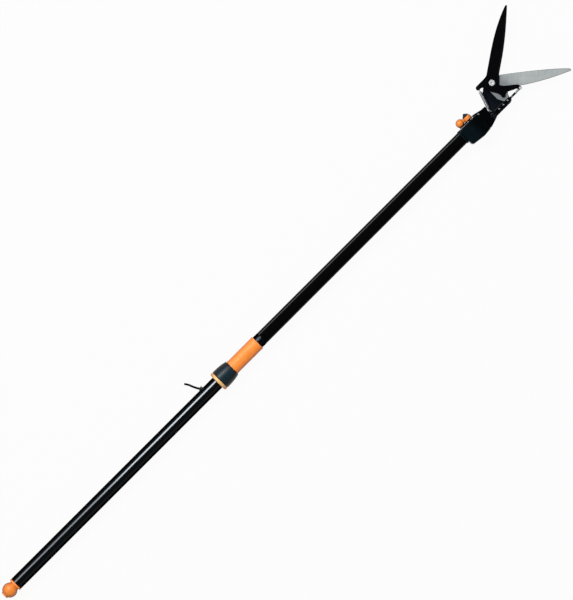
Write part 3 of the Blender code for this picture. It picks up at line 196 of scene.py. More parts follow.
def catmull(points, steps=10):
    """A smooth cubic curve through all the points."""
    path = np.asarray(points, float)
    path = np.vstack([2 * path[0] - path[1], path, 2 * path[-1] - path[-2]])
    a, b, c, d = (path[k:len(path) - 3 + k, None] for k in range(4))
    t = (np.arange(steps) / steps)[None, :, None]
    curve = 0.5 * (2 * b + (c - a) * t + (2 * a - 5 * b + 4 * c - d) * t ** 2
                   + (3 * b - 3 * c + d - a) * t ** 3)
    return np.vstack([curve.reshape(-1, path.shape[1]), path[-2]])


def unit(rows):
    """Each row scaled to length 1."""
    return rows / np.linalg.norm(rows, axis=1)[:, None]


def inset(outline, distance):
    """Moves each point of a counter-clockwise outline inwards, square to its two sides."""
    points = np.asarray(outline, float)
    before = unit(points - np.roll(points, 1, axis=0))
    after = unit(np.roll(points, -1, axis=0) - points)
    normal = unit(np.stack([-(before + after)[:, 1], (before + after)[:, 0]], axis=1))
    square = (normal * np.stack([-after[:, 1], after[:, 0]], axis=1)).sum(axis=1)
    push = np.asarray(distance, float) / np.clip(square, 0.6, 1)
    return points + normal * np.broadcast_to(push, len(points))[:, None]


def plated(outline, levels, holes=()):
    """A flat plate: its outline at each (height, inset) level, walls between the levels and
    flat ends. Holes are outlines that keep their size."""
    loops = [np.asarray(loop, float) for loop in (outline, *holes)]
    sizes = [len(loop) for loop in loops]
    starts = np.concatenate([[0], np.cumsum(sizes)])
    rows = [np.vstack([inset(loops[0], push)] + loops[1:]) for _, push in levels]
    rows = [np.column_stack([row, np.full(len(row), z)]) for row, (z, _) in zip(rows, levels)]
    faces = []
    for start, size in zip(starts, sizes):
        faces += grid(len(levels), size, True, int(start), int(starts[-1]))
    for level in (0, len(levels) - 1):
        rings = [[Vector(p) for p in rows[level][a:a + n]] for a, n in zip(starts, sizes)]
        faces += [[int(level * starts[-1] + i) for i in face]
                  for face in tessellate_polygon(rings)]
    return np.vstack(rows), faces


def slab(outline, low, high, ease, holes=()):
    """A flat plate from low to high whose two rims are cut at 45 degrees by ease."""
    return plated(outline, [(low, ease), (low + ease, 0), (high - ease, 0), (high, ease)], holes)


def carried(path, section, scale=1.0, up=(0, 0, 1)):
    """A closed section of (side, height) points carried along a path of points, square to it
    and scaled by a number per point; the two ends are closed on their middles."""
    path, section = np.asarray(path, float), np.asarray(section, float)
    ahead = unit(np.gradient(path, axis=0))
    side = unit(np.cross(np.asarray(up, float), ahead))
    top = np.cross(ahead, side)
    scale = np.broadcast_to(np.asarray(scale, float), len(path))[:, None, None]
    rings = path[:, None] + scale * (side[:, None] * section[None, :, :1]
                                     + top[:, None] * section[None, :, 1:])
    ends = [np.repeat(point[None, None], len(section), axis=1) for point in (path[0], path[-1])]
    rings = np.concatenate([ends[0], rings, ends[1]])
    return rings.reshape(-1, 3), grid(len(rings), len(section))


# ---------------- pieces

def placed(name, data):
    """A new object in the scene."""
    made = bpy.data.objects.new(name, data)
    bpy.context.scene.collection.objects.link(made)
    return made


def finish_piece(name, mesh, body, replaced, angle):
    """Sharp edges by angle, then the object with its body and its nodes."""
    mesh.shade_smooth()
    mesh.set_sharp_from_angle(angle=math.radians(angle))
    made = placed(name, mesh)
    if body:
        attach(made, body)
    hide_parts(*replaced)
    return made


def piece(name, body, finish, shells, replaced=None, sloped=None, angle=30):
    """One object from closed shells of (points, faces) or (points, faces, finish). Faces that
    slope between flat and upright may have a finish of their own."""
    shells = [(*shell, finish)[:3] for shell in shells]
    finishes = [finish] + ([sloped] if sloped else [])
    finishes += sorted({own for _, _, own in shells} - set(finishes))
    points, faces, which, base = [], [], [], 0
    for corners, quads, own in shells:
        points.append(corners)
        faces += [[base + i for i in face] for face in quads]
        which += [finishes.index(own)] * len(quads)
        base += len(corners)
    mesh = bpy.data.meshes.new(f"{name}_finished")
    mesh.from_pydata(((np.vstack(points) + (0, 0, AXIS)) * MM).tolist(), [], faces)
    mesh.polygons.foreach_set("material_index", which)
    shape = bmesh.new()
    shape.from_mesh(mesh)
    bmesh.ops.remove_doubles(shape, verts=shape.verts, dist=2e-6)
    bmesh.ops.recalc_face_normals(shape, faces=shape.faces)
    shape.to_mesh(mesh)
    shape.free()
    if sloped:
        normals = np.empty(len(mesh.polygons) * 3, np.float32)
        mesh.polygons.foreach_get("normal", normals)
        rise = np.abs(normals.reshape(-1, 3)[:, 2])
        mesh.polygons.foreach_set("material_index",
                                  ((rise > 0.3) & (rise < 0.985)).astype(np.int32))
    for one in finishes:
        mesh.materials.append(MAT[one])
    return finish_piece(f"{name}_finished", mesh, body, replaced or [name],
                        angle)


def lathe(name, body, finish, profile, axis="X", centre=(0, 0, 0), sides=96, ease=0.4,
          angle=30):
    """A piece that is one profile turned round an axis."""
    piece(name, body, finish, [revolved(profile, axis, centre, sides, ease)], angle=angle)


def from_cad(name, body, finish, width, angle=35):
    """A merged copy of a CAD node with its edges rounded by a bevel."""
    mesh = nodes[name].data.copy()
    mesh.name = f"{name}_eased"
    shape = bmesh.new()
    shape.from_mesh(mesh)
    bmesh.ops.remove_doubles(shape, verts=shape.verts, dist=5e-6)
    bmesh.ops.dissolve_limit(shape, angle_limit=math.radians(0.5), verts=shape.verts,
                             edges=shape.edges)
    shape.to_mesh(mesh)
    shape.free()
    mesh.materials.clear()
    mesh.materials.append(MAT[finish])
    made = finish_piece(f"{name}_eased", mesh, body, [name], angle)
    bevel = made.modifiers.new("eased edges", "BEVEL")
    bevel.width, bevel.segments = width * MM, 2
    bevel.limit_method, bevel.angle_limit = "ANGLE", math.radians(angle)
    bevel.use_clamp_overlap = True
    bevel.harden_normals = True


# ---------------- colours and nodes

EVEN, ALONG = (1, 1, 1), (60, 1, 1)


def lin(code):
    """An sRGB hex colour as linear red, green and blue, with full alpha."""
    parts = [int(code[i:i + 2], 16) / 255 for i in (0, 2, 4)]
    return (*(p / 12.92 if p <= 0.04045 else ((p + 0.055) / 1.055) ** 2.4 for p in parts), 1)


def add(tree, kind, inputs=None, **settings):
    """Adds a shader node and sets its fields and sockets. A socket that is given a node, or
    one of its outputs, is linked to it."""
    made = tree.nodes.new("ShaderNode" + kind)
    for key, value in settings.items():
        setattr(made, key, value)
    for key, value in (inputs or {}).items():
        if isinstance(value, bpy.types.Node):
            value = value.outputs[0]
        if isinstance(value, bpy.types.NodeSocket):
            tree.links.new(value, made.inputs[key])
        else:
            made.inputs[key].default_value = value
    return made


def new_material(name):
    """An empty node material and its tree."""
    material = bpy.data.materials.new(name)
    material.use_nodes = True
    material.node_tree.nodes.clear()
    return material, material.node_tree


def cloudy(tree, size, detail=2.0, stretch=EVEN, turn=0.0):
    """A value whose spots measure about size millimetres, longer along an axis where stretch
    is above 1, with the axes turned about z by an angle."""
    at = add(tree, "TexCoord").outputs["Object"]
    if turn:
        back = (0, 0, -math.radians(turn))
        at = add(tree, "Mapping", {"Vector": at, "Rotation": back})
    scale = [1 / (MM * size * s) for s in stretch]
    at = add(tree, "Mapping", {"Vector": at, "Scale": scale})
    return add(tree, "TexNoise", {"Vector": at, "Scale": 1.0, "Detail": detail})


def spots(tree, size, low, high, near=0.3, far=0.7, **lay):
    """The cloudy value, with its part from near to far spread over low to high."""
    return add(tree, "MapRange", {0: cloudy(tree, size, **lay), 1: near, 2: far, 3: low, 4: high})


def mottled(first, second, size, **lay):
    """A colour that wanders between two, in spots of size millimetres."""
    return lambda tree: add(tree, "Mix", {0: spots(tree, size, 0, 1, **lay), 6: lin(first),
                                          7: lin(second)}, data_type="RGBA").outputs[2]


def rubbed(first, second, worn, size, share, **lay):
    """A mottled colour with spots of a third one where it is rubbed: there the cloudy value
    is above share."""
    def colour(tree):
        under = mottled(first, second, size, **lay)(tree)
        bare = spots(tree, size * 2.3, 0, 1, share, share + 0.08, detail=5, **lay)
        return add(tree, "Mix", {0: bare, 6: under, 7: lin(worn)}, data_type="RGBA").outputs[2]
    return colour


def painted_tone_along_x(colour, dull, near, far, drift=0.12):
    """A colour that comes in between two places along x, in mm, with a painted tone, dull,
    before them: painted shade on the blade, a painted sheen on the housing. The border
    between the two drifts in spots of 14 mm."""
    def shaded(tree):
        at = add(tree, "TexCoord").outputs["Object"]
        along = add(tree, "SeparateXYZ", {0: at}).outputs["X"]
        base_share = add(tree, "MapRange", {0: along, 1: near * MM, 2: far * MM})
        base_share = add(tree, "Math", {0: base_share, 1: spots(tree, 14, -drift, drift)},
                    operation="ADD", use_clamp=True)
        return add(tree, "Mix", {0: base_share, 6: lin(dull), 7: colour(tree)},
                   data_type="RGBA").outputs[2]
    return shaded


def painted_edge_shade(colour, side, near=0.08, far=0.30):
    """Painted shade: a colour that falls to a darker one, side, where the surface turns away
    from the eye. near and far are one less the cosine of that turn."""
    def shaded(tree):
        away = add(tree, "LayerWeight", {"Blend": 0.5}).outputs["Facing"]
        away = add(tree, "MapRange", {0: away, 1: near, 2: far})
        return add(tree, "Mix", {0: away, 6: colour(tree), 7: lin(side)},
                   data_type="RGBA").outputs[2]
    return shaded


def wandering(low, high, size, **lay):
    """A roughness that wanders between two values."""
    return lambda tree: spots(tree, size, low, high, **lay)


def grain(*layers, depth=0.05):
    """Bump from cloudy layers of (size in mm, strength, stretch, turn), depth in mm."""
    def normal(tree):
        made = {}
        for size, strength, *lay in layers:
            height = cloudy(tree, size, 3.0, *lay)
            made = {"Normal": add(tree, "Bump", {"Height": height, "Strength": strength,
                                                 "Distance": depth * MM, **made})}
        return made["Normal"]
    return normal


MAT, SLOT = {}, {}


def define(key, name, slot, colour, roughness, bump, gloss):
    """One finish: its Principled material and its slot in the record. Colour, roughness and
    bump are functions that add their nodes; gloss holds the values of other sockets."""
    MAT[key], tree = new_material(name)
    SLOT[key] = slot
    sockets = {"Base Color": colour(tree), "Roughness": roughness(tree), "Normal": bump(tree)}
    add(tree, "OutputMaterial", {0: add(tree, "BsdfPrincipled", {**sockets, **gloss})})


# ---------------- materials

METAL = {"Metallic": 1.0}
DARK_METAL = {**METAL, "Specular Tint": (0.02, 0.025, 0.03, 1)}  # stays dark at a low angle
ORANGE_GLOSS = {"IOR": 1.49}
DRAWN, GROUND = {"stretch": ALONG}, {"stretch": (1, 14, 1), "turn": FIXED_ANGLE}
WHEELED = {"stretch": (16, 1, 16), "turn": FIXED_ANGLE}
STROKED = {"stretch": (14, 1, 14), "turn": OPEN_ANGLE}
HONED = {"stretch": (10, 1, 10), "turn": OPEN_ANGLE}


def dim(level, tint=(1, 1, 1, 1)):
    """The gloss of a plastic or paint, as constants on the shader's own sockets."""
    return {"Specular IOR Level": level, "Specular Tint": tint}


# Injection moulded polypropylene, spark-eroded tool: faint flow mottling and a soft wide
# gloss broken by a fine orange peel, and painted shade deepening its colour towards its
# edges
define("orange", "orange_moulded_polypropylene", "orange_plastic",
       painted_edge_shade(mottled("F08326", "F48D32", 9), "B84E14", 0.22, 0.75), wandering(0.44, 0.54, 5),
       grain((1.6, 0.08), (0.5, 0.06)), ORANGE_GLOSS)
# The same plastic polished by the hand: a tighter gloss, and painted shade darkening it
# towards its edges
define("knob", "orange_polypropylene_handled", "orange_plastic",
       painted_edge_shade(mottled("E47C23", "E8862C", 7), "8A3A10", 0.15, 0.7), wandering(0.38, 0.46, 4),
       grain((1.6, 0.06), (0.5, 0.05)), ORANGE_GLOSS)
# Moulded elastomer over the same plastic: paler, and painted shade redder towards its edges
define("ring", "pale_orange_elastomer", "orange_plastic",
       painted_edge_shade(mottled("D8AC66", "DEB674", 5), "B87038", 0.15, 0.6), wandering(0.36, 0.48, 3),
       grain((0.9, 0.15), (0.25, 0.15)), dim(0.8))
# Drawn aluminium tube, anodised black and sealed: a narrow bluish highlight with fine
# lengthwise draw lines, and painted shade that makes it nearly black beside it
define("gloss_tube", "black_anodised_drawn_tube", "black_paint",
       painted_edge_shade(mottled("404346", "494D50", 3, **DRAWN), "0C0E10"),
       wandering(0.10, 0.17, 2, **DRAWN), grain((0.7, 0.05, ALONG), (2.5, 0.04)), DARK_METAL)
# Turned band, polished before it was anodised: fine rings round it, a softer highlight,
# and painted shade darkening its sides
define("gloss_band", "black_anodised_turned_band", "black_paint",
       painted_edge_shade(mottled("262C30", "30373C", 2, stretch=(1, 9, 9)), "0C0E10"),
       wandering(0.30, 0.36, 1.2, stretch=(1, 12, 12)), grain((0.5, 0.1, (1, 16, 16))),
       DARK_METAL)
# Satin powder coat on extruded tube: very dark, a dull broad line along each corner
define("satin_tube", "black_satin_powder_coat", "black_coat", mottled("020203", "040405", 4),
       wandering(0.19, 0.26, 6), grain((0.4, 0.22), (3.0, 0.05)), dim(0.13))
# Glass filled nylon with a spark-eroded grain: black with a bluish cast in its gloss
define("black_plastic", "black_glass_filled_nylon", "black_plastic",
       mottled("040506", "07090B", 7), wandering(0.30, 0.42, 4), grain((0.5, 0.3), (3, 0.12)),
       dim(0.12, (0.75, 0.95, 1.0, 1)))
# The same nylon, with a painted teal sheen at the end towards the pole
define("housing", "glass_filled_nylon_painted_sheen", "black_plastic",
       painted_tone_along_x(mottled("010202", "020303", 7), "060F14", -14, 8), wandering(0.24, 0.34, 4),
       grain((0.5, 0.25), (3, 0.12)), dim(0.09, (0.7, 0.95, 1.0, 1)))
# Moulded thermoplastic rubber: dark blue-black, a dull broad highlight, and painted shade
# darkening it towards its edges
define("boot", "blue_black_rubber", "black_plastic",
       painted_edge_shade(mottled("0F2029", "142A34", 6), "03070A", 0.06, 0.4), wandering(0.35, 0.43, 4),
       grain((0.6, 0.14)), dim(0.26))
# Pressed steel, dipped in black vinyl: thin even gloss
define("lever", "black_vinyl_dip", "black_coat", mottled("040405", "070708", 4),
       wandering(0.3, 0.42, 3), grain((1.2, 0.15), (0.3, 0.15)), dim(0.15))
# Wet paint on a casting: blue-black, slightly pebbled
define("bracket", "blue_black_bracket_paint", "bracket_paint", mottled("02070E", "040B15", 5),
       wandering(0.26, 0.36, 3), grain((0.7, 0.15), (2.2, 0.1)), dim(0.12))
# Blade steel ground on a belt: streaks across the blade in colour, gloss and relief, and
# a darker end by the bolt that is painted shade
define("blade", "belt_ground_blade_steel", "blade_steel",
       painted_tone_along_x(rubbed("CCD3D3", "DBE1E1", "B6BEBE", 1.0, 0.66, **GROUND), "9A9FA3", 124, 172),
       wandering(0.44, 0.56, 0.8, stretch=(1, 16, 1), turn=FIXED_ANGLE),
       grain((0.35, 0.3, (1, 22, 1), FIXED_ANGLE)), METAL)
# The bevel, ground on a finer wheel, with streaks along the edge; its darker colour is
# painted shade
define("blade_edge", "wheel_ground_bevel_painted_shade", "blade_steel",
       mottled("8E9597", "A3AAAB", 0.8, stretch=(18, 1, 18), turn=FIXED_ANGLE),
       wandering(0.26, 0.36, 0.6, **WHEELED), grain((0.3, 0.25, (20, 1, 20), FIXED_ANGLE)),
       METAL)
# Baked non-stick coating: black, with faint rubbed streaks along the blade
define("coating", "baked_black_fluoropolymer", "blade_coating",
       rubbed("030305", "060609", "0E0F13", 1.5, 0.66, **STROKED),
       wandering(0.20, 0.30, 1.2, **STROKED), grain((0.5, 0.12, (12, 1, 12), OPEN_ANGLE)),
       dim(0.09))
# The same coating on the bevel, worn to dark steel in streaks
define("coating_edge", "worn_coating_on_bevel", "blade_coating",
       rubbed("050608", "0A0B0E", "1B1D21", 1.0, 0.60, **HONED),
       wandering(0.3, 0.45, 0.9, **HONED), grain((0.4, 0.15, (10, 1, 10), OPEN_ANGLE)),
       dim(0.2))
# Zinc plated steel, drum polished: pale, softly mottled, a small bright spark
define("bright", "zinc_plated_steel", "bright_steel", mottled("ECEEEF", "F8F9FA", 1.5),
       wandering(0.42, 0.52, 1.0), grain((0.6, 0.08)), METAL)
# Rolled rivet head, dulled by its plating
define("dull_rivet", "dull_rivet_steel", "bright_steel", mottled("6E7275", "85898C", 1.2),
       wandering(0.4, 0.5, 0.8), grain((0.3, 0.15)), METAL)
# Chain pins, bright where they run
define("pin_steel", "bright_pin_steel", "bright_steel", mottled("B4B8BB", "C9CDCF", 0.6),
       wandering(0.3, 0.4, 0.5), grain((0.2, 0.12)), METAL)
# Stamped chain plates, painted dark as the shade in the chain's channel
define("chain_dark", "chain_steel_painted_shade", "bright_steel",
       mottled("0C0D10", "16181B", 1.2), wandering(0.3, 0.45, 0.8), grain((0.3, 0.2)), METAL)
# The last link's plates, painted pale as the light on them past the channel's end
define("chain_bright", "chain_steel_painted_light", "bright_steel", mottled("C2C5C7", "D5D8D9", 1.0),
       wandering(0.34, 0.46, 0.7), grain((0.3, 0.15)), METAL)
# Blackened steel of the cap nut, the trunnion screws, pins and clamp washer
define("dark_steel", "blackened_steel", "bright_steel", mottled("23272C", "33383E", 2),
       wandering(0.25, 0.4, 2), grain((0.5, 0.15)), METAL)
# Drawn aluminium, left bare: pale with fine lines along it
define("alloy", "drawn_aluminium", "tube_alloy", mottled("B4B7B9", "C3C6C8", 2, **DRAWN),
       wandering(0.28, 0.4, 1.5, **DRAWN), grain((0.5, 0.12, ALONG)), METAL)
# Drawn spring wire, dull zinc flake
define("spring", "zinc_flake_spring_wire", "bright_steel", mottled("B4B8BA", "C6CACC", 1.0),
       wandering(0.46, 0.56, 0.8), grain((0.3, 0.15)), METAL)
# Wire rope in an extruded plastic coat: dark grey, waxy
define("jacket", "cable_plastic_coat", "cable_jacket", mottled("23262A", "2E3236", 2),
       wandering(0.4, 0.55, 2), grain((0.4, 0.2)), dim(0.4))


# ---------------- the tool's pieces

def build_lower_pole():
    """The glossy round tube and the collar in its end."""
    bore = TUBE - WALL
    lathe("lower_tube", "lower_pole", "gloss_tube", straight(LOWER_START, LOWER_END, TUBE, bore))
    end, guide, spigot = LOWER_START - GAP, PULL_TUBE + GAP, bore - GAP
    start, rim, deep = end - COLLAR_LENGTH, TUBE + 0.2, end + SPIGOT_LENGTH
    lathe("end_collar", "lower_pole", "orange",
          [(start, guide), (start, NECK + 0.6), (start + 0.7, NECK + 0.6),
           (start + 0.7, TUBE - 0.6), (start + 1.5, rim), (end - 1.6, rim),
           (end - 1.4, TUBE - 0.4), (end - 1.0, TUBE - 0.4), (end - 0.8, rim), (end, rim),
           (end, spigot), (deep, spigot), (deep, spigot - 3), (end + 4, spigot - 3),
           (end + 4, guide + 3), (deep, guide + 3), (deep, guide)], ease=0.5)


def build_grip():
    """Sleeve, flared boot and guard ring on the lower tube. The boot's radius falls from its
    mouth to its shoulder by a power of the share of its length."""
    inner, end, lip = TUBE + GAP, POLE_STEP - GAP, INNER + GAP
    start, rim = end - SLEEVE_LENGTH, SLEEVE - 0.5
    lathe("grip_sleeve", "lower_pole", "orange",
          [(start, inner), (start, rim), (start + 0.8, SLEEVE), (start + 3.2, SLEEVE),
           (start + 4, rim), (end - 4, rim), (end - 3.2, SLEEVE), (end - 0.8, SLEEVE),
           (end, rim - 0.3), (end, lip), (end - 4, lip), (end - 4, inner)])
    end = start - GAP
    start = end - FLARE_LENGTH + GAP
    mouth, share = RING - 0.1, np.linspace(0, 1, 40)
    body = np.stack([start + 2.0 + (FLARE_LENGTH - 3.0) * share,
                     mouth + (SHOULDER - mouth) * share ** 2.6], -1)
    lathe("grip_flare", "lower_pole", "boot",
          [(start, inner), (start, RING - 0.8), *map(tuple, body), (end, SHOULDER - 1.6),
           (end, inner)], ease=0.5)
    end = start - GAP
    start = end - RING_LENGTH
    lathe("guard_ring", "lower_pole", "ring",
          [(start, inner), (start, RING - 3.2), (start + 1.0, RING - 1.2), (start + 2.8, RING),
           (end - 1.6, RING), (end, RING - 1.0), (end, inner)], ease=1.0)


def build_knob():
    """The ball at the pole's lower end, its plug and the pull tube."""
    neck, bore = LOWER_START - 2 * GAP - COLLAR_LENGTH, PULL_TUBE + GAP
    turn = np.linspace(math.asin(NECK / KNOB), math.pi - math.asin((BOSS + 1) / KNOB), 40)
    ball = np.stack([KNOB_X + KNOB * np.cos(turn), KNOB * np.sin(turn)], -1)
    face = ball[-1, 0] + 1.2
    lathe("ball_knob", "pull_handle", "knob",
          [(neck, bore), (neck, NECK), (neck - 1.0, NECK - 0.5), *map(tuple, ball[1:]),
           (face, BOSS), (face, bore)], ease=0.7)
    plug = face - GAP
    shoulder, rim, hole, stop = BOSS - 0.3, BOSS - 1, bore - GAP, plug + 12
    lathe("knob_plug", "pull_handle", "knob",
          [(plug - 5, 0), (plug - 5, BOSS - 1.2), (plug - 4, shoulder), (plug - 1.4, shoulder),
           (plug - 1.0, rim), (plug, rim), (plug, hole), (stop, hole), (stop, 0)], ease=0.7)
    lathe("pull_tube", "pull_handle", "alloy",
          straight(stop + GAP, PULL_TUBE_END, PULL_TUBE, ROD + 0.5), sides=48)


def build_telescope_lock():
    """The thin bent lever with its hub and heel, its pin and the brake plunger. The lever is
    a rounded strip carried along a smooth curve, a little slimmer towards its end."""
    spine = catmull([(LEVER_X + x, LEVER_Y + y) for x, y in
                     [(-0.8, 0.6), (-3.2, 3.9), (-8.4, 14.2), (-12.7, 24.9), (-16.4, 31.4),
                      (-20.0, 36.6)]], 12)
    spine = np.column_stack([spine, np.zeros(len(spine))])
    run = np.linspace(0, 1, len(spine))
    rounding = np.sqrt(1 - 0.6 * (1 - np.clip((1 - run) * 22, 0, 1)) ** 2)
    strip = carried(spine, rounded_box(5.8, 2 * LEVER_HALF, 1.5, 6), (1 - 0.10 * run) * rounding)
    centre = (LEVER_X, LEVER_Y, 0)
    hub = revolved(straight(-LEVER_HALF, LEVER_HALF, 2.6, 1.4), "Z", centre, 48, 0.3)
    low, left, right = LEVER_Y - 1.6, LEVER_X + 1.5, PLUNGER_X + 1.6
    outline = eased([(left, low), (right, low), (right, LEVER_Y), (left, LEVER_Y)])
    heels = [slab(outline, *sorted((side * 1.9, side * LEVER_HALF)), 0.2) for side in (-1, 1)]
    piece("lock_lever", "lock_lever", "lever", [strip, hub, *heels])
    reach = LEVER_HALF + GAP + 0.5 + 2.6
    lathe("lever_pin", "lower_pole", "dark_steel",
          [(-reach, 0), (-reach, 1.8), (-reach + 0.5, 1.8), (-reach + 0.5, 1.1), (reach, 1.1),
           (reach, 0)], "Z", centre, 32, 0.3)
    low, head = INNER + GAP, LEVER_Y + GAP
    lathe("lock_plunger", "lock_plunger", "dark_steel",
          [(low, 0), (low, 1.2), (low + 0.5, 1.6), (head, 1.6), (head, 2.6), (head + 0.9, 2.6),
           (head + 1.3, 2.1), (head + 1.3, 0)], "Y", (PLUNGER_X, 0, 0), 32, 0.25)
    from_cad("lever_saddle", "lower_pole", "lever", 0.2)


def build_upper_pole():
    """Inner tube, coupling band and the flat-sided tube with the chain's slot."""
    bore = INNER - INNER_WALL
    lathe("inner_tube", "upper_pole", "alloy",
          straight(INNER_START, POLE_STEP - GAP, INNER, bore))
    spigot, band = bore - GAP, TUBE + 0.2
    start, end = POLE_STEP, UPPER_START - GAP
    collar = revolved(
        [(start - 30, 3.0), (start - 30, spigot - 1), (start - 29, spigot), (start, spigot),
         (start, TUBE - 0.6), (start + 0.8, band), (end - 4.0, band), (end - 3.7, band - 0.5),
         (end - 3.3, band - 0.5), (end - 3.0, band), (end - 0.8, band), (end, TUBE - 0.4),
         (end, 3.0)])
    wall = 2 * (PROFILE_WALL + GAP)
    nose = rounded_box(PROFILE[0] - wall, PROFILE[1] - wall, PROFILE[2] - PROFILE_WALL)
    nose = [np.column_stack([np.full(len(nose), x), nose * scale])
            for x, scale in ((end - 1, 0), (end - 1, 1), (end + 25, 1), (end + 25, 0))]
    piece("coupling_collar", "upper_pole", "gloss_band",
          [collar, (np.vstack(nose), grid(4, len(nose[0])))])
    piece("upper_tube", "upper_pole", "satin_tube", [slotted_tube()])


def slotted_tube():
    """The tube's outer and inner wall as one grid each, x along and the section round. Past
    the slot's start the last column, between the slot's two sides, is left open and walled."""
    def section(push, count=12):
        width, depth = PROFILE[0] + 2 * push, PROFILE[1] + 2 * push
        ring = np.roll(rounded_box(width, depth, PROFILE[2] + push, count), -2 * count, axis=0)
        return np.vstack([[(-width / 2, -SLOT_HALF)], ring, [(-width / 2, SLOT_HALF)]])
    places = [(UPPER_START, 0), (SLOT_START, 0), (HOUSING_START - 1.0, 0),
              (HOUSING_START - 0.8, -0.15), (UPPER_END, -0.15)]
    wall = section(-PROFILE_WALL)
    outer = [np.column_stack([np.full(len(wall), x), section(push)]) for x, push in places]
    inner = [np.column_stack([np.full(len(wall), x), wall]) for x, _ in places]
    count, rows = len(wall), len(places)
    base = rows * count
    faces = []
    for start in (0, base):
        faces += grid(2, count, True, start) + grid(rows - 1, count, False, start + count)
    for row, wrap in ((0, True), (rows - 1, False)):
        faces += grid(2, count, wrap, row * count, base)
    for row in range(1, rows - 1):
        for column in (0, count - 1):
            a = row * count + column
            faces.append([a, a + count, a + count + base, a + base])
    a, b = count, 2 * count - 1
    faces.append([a, b, b + base, a + base])
    return np.vstack(outer + inner), faces


def build_housing():
    """The housing's two shells as moulded, with their screws, rivet, trunnions and roller."""
    for name in ("housing_front", "housing_back"):
        from_cad(name, "upper_pole", "housing", 0.4, 26)
    top = SCREW_TOP
    for number, (x, y) in enumerate(SCREWS, 1):
        lathe(f"housing_screw_{number}", "upper_pole", "bright",
              [(top - 1.0, 0), (top - 1.0, 1.0), (top - 2.2, 1.3), (top - 2.2, 2.4),
               (top - 1.4, 3.2), (top, 3.2), (top, 1.5), (12, 1.5), (12, 0)], "Z", (x, y, 0),
              32, 0.2)
    high = EAR_DEPTH + GAP
    for side, name in ((1, "trunnion_screw_front"), (-1, "trunnion_screw_back")):
        profile = [(4.3, 0), (4.3, 3.0), (high, 3.0), (high, 7.0), (high + 1.6, 7.0),
                   (high + 2.6, 6.0), (high + 2.8, 2.8), (high + 1.0, 2.6), (high + 1.0, 0)]
        lathe(name, "upper_pole", "dark_steel", [(side * z, r) for z, r in profile], "Z",
              TRUNNION, 64)
    dome = [(high + 0.35 + 0.85 * math.sin(a), RIVET_HEAD * math.cos(a))
            for a in np.linspace(0, math.pi / 2, 9, endpoint=False)]
    lathe("fork_rivet", "upper_pole", "dull_rivet",
          mirrored([(high, 1.6), (high, RIVET_HEAD), *dome, (high + 1.2, 0)]), "Z", RIVET, 48,
          0.15)
    roller = (30.0, CHAIN_Y - LINK_END - 0.4 - 4.5, 0)
    lathe("guide_roller", "upper_pole", "black_plastic",
          [(-5, 2.3), (-5, 4.5), (-3.4, 3.8), (3.4, 3.8), (5, 4.5), (5, 2.3)], "Z", roller, 48,
          0.3)
    lathe("roller_pin", "upper_pole", "bright", straight(-11.7, 11.7, 2.0), "Z", roller, 48,
          0.3)


def build_clamp():
    """The ball-ended lever on its bolt, with the washer under it and the cap nut on top. The
    lever's arm is a circle carried from the ball to the hub: its radius is the ball's own
    circle, run softly into a slim neck that widens at the hub."""
    top, hole = HOUSING_TOP + GAP, CLAMP_BOLT + GAP
    lathe("clamp_washer", "upper_pole", "dark_steel",
          straight(top, top + CLAMP_WASHER, 10.5, hole), "Y", ease=0.25)
    low, bore = top + CLAMP_WASHER + GAP, CLAMP_BOLT + 0.2
    high = low + 12.6
    hub = revolved([(low + 0.4, bore), (low + 0.4, CLAMP_HUB - 0.4), (low + 8.6, CLAMP_HUB),
                    (low + 11.4, CLAMP_HUB - 1.0), (high, CLAMP_HUB - 2.8), (high, bore)],
                   "Y", ease=1.2)
    under_ball = arc(-CLAMP_REACH, 0, SEAT_END, 115, 245, 40)
    seat = plated(np.vstack([arc(0, 0, CLAMP_HUB + 0.3, -130, 130, 60), under_ball]),
                  [(low - 0.15, 0.3), (low + 0.15, 0), (SEAT_TOP - 0.5, 0), (SEAT_TOP, 0.5)],
                  [disc(0, 0, bore)])
    foot = plated(np.vstack([arc(0, 0, 10.9, -140, -220, 20), under_ball]),
                  [(HOUSING_TOP + 0.05, 0.2), (HOUSING_TOP + 0.3, 0), (low - 0.1, 0)])
    seat, foot = ((shell[0][:, [0, 2, 1]], shell[1], "black_plastic") for shell in (seat, foot))
    x = -CLAMP_REACH - CLAMP_BALL * np.cos(np.linspace(0.02, math.pi * 0.62, 40))
    x = np.concatenate([x, np.linspace(x[-1], -5.0, 24)[1:]])
    away = np.clip(np.abs(x + CLAMP_REACH) / CLAMP_BALL, 0, 1)
    ball = CLAMP_BALL * np.sqrt(1 - away ** 2)
    neck = 5.3 + 1.6 * np.clip((x + 12) / 7, 0, 1) ** 2
    both = np.minimum(np.log(np.exp(ball) + np.exp(neck)), np.maximum(ball, neck) + 0.7)
    late = np.clip((x + CLAMP_REACH) / CLAMP_REACH, 0, 1)
    y = CLAMP_BALL_Y + (low + 7 - CLAMP_BALL_Y) * late * late * (3 - 2 * late)
    arm = carried(np.stack([x, y, 0 * x], -1), disc(0, 0, 1, 64),
                  np.where(x > -CLAMP_REACH, both, ball))
    piece("clamp_lever", "clamp", "knob", [hub, arm, seat, foot], angle=40)
    lathe("clamp_bolt", "clamp", "bright",
          [(4, 0), (4, 6), (8, 6), (8, CLAMP_BOLT), (high + 2, CLAMP_BOLT), (high + 2, 0)], "Y",
          sides=48, ease=0.3)
    base = high + GAP
    cone = [(base + 3.4, 0), (base + 3.4, hole), (base, hole), (base, 9.2), (base + 1.0, 9.8),
            (base + 2.2, 9.2), (base + 5.2, 5.6), (base + 7.6, 2.8), (base + 8.8, 1.2),
            (base + 9.2, 0)]
    piece("clamp_cap_nut", "clamp", "dark_steel", [revolved(cone, "Y", ease=0.5)])


def turned(points, angle):
    """Points along and across a blade, turned about the blade bolt by an angle in degrees."""
    u, v = np.asarray(points, float).T
    a = math.radians(angle)
    return np.stack([PIVOT[0] + u * math.cos(a) - v * math.sin(a),
                     PIVOT[1] + u * math.sin(a) + v * math.cos(a)], -1)


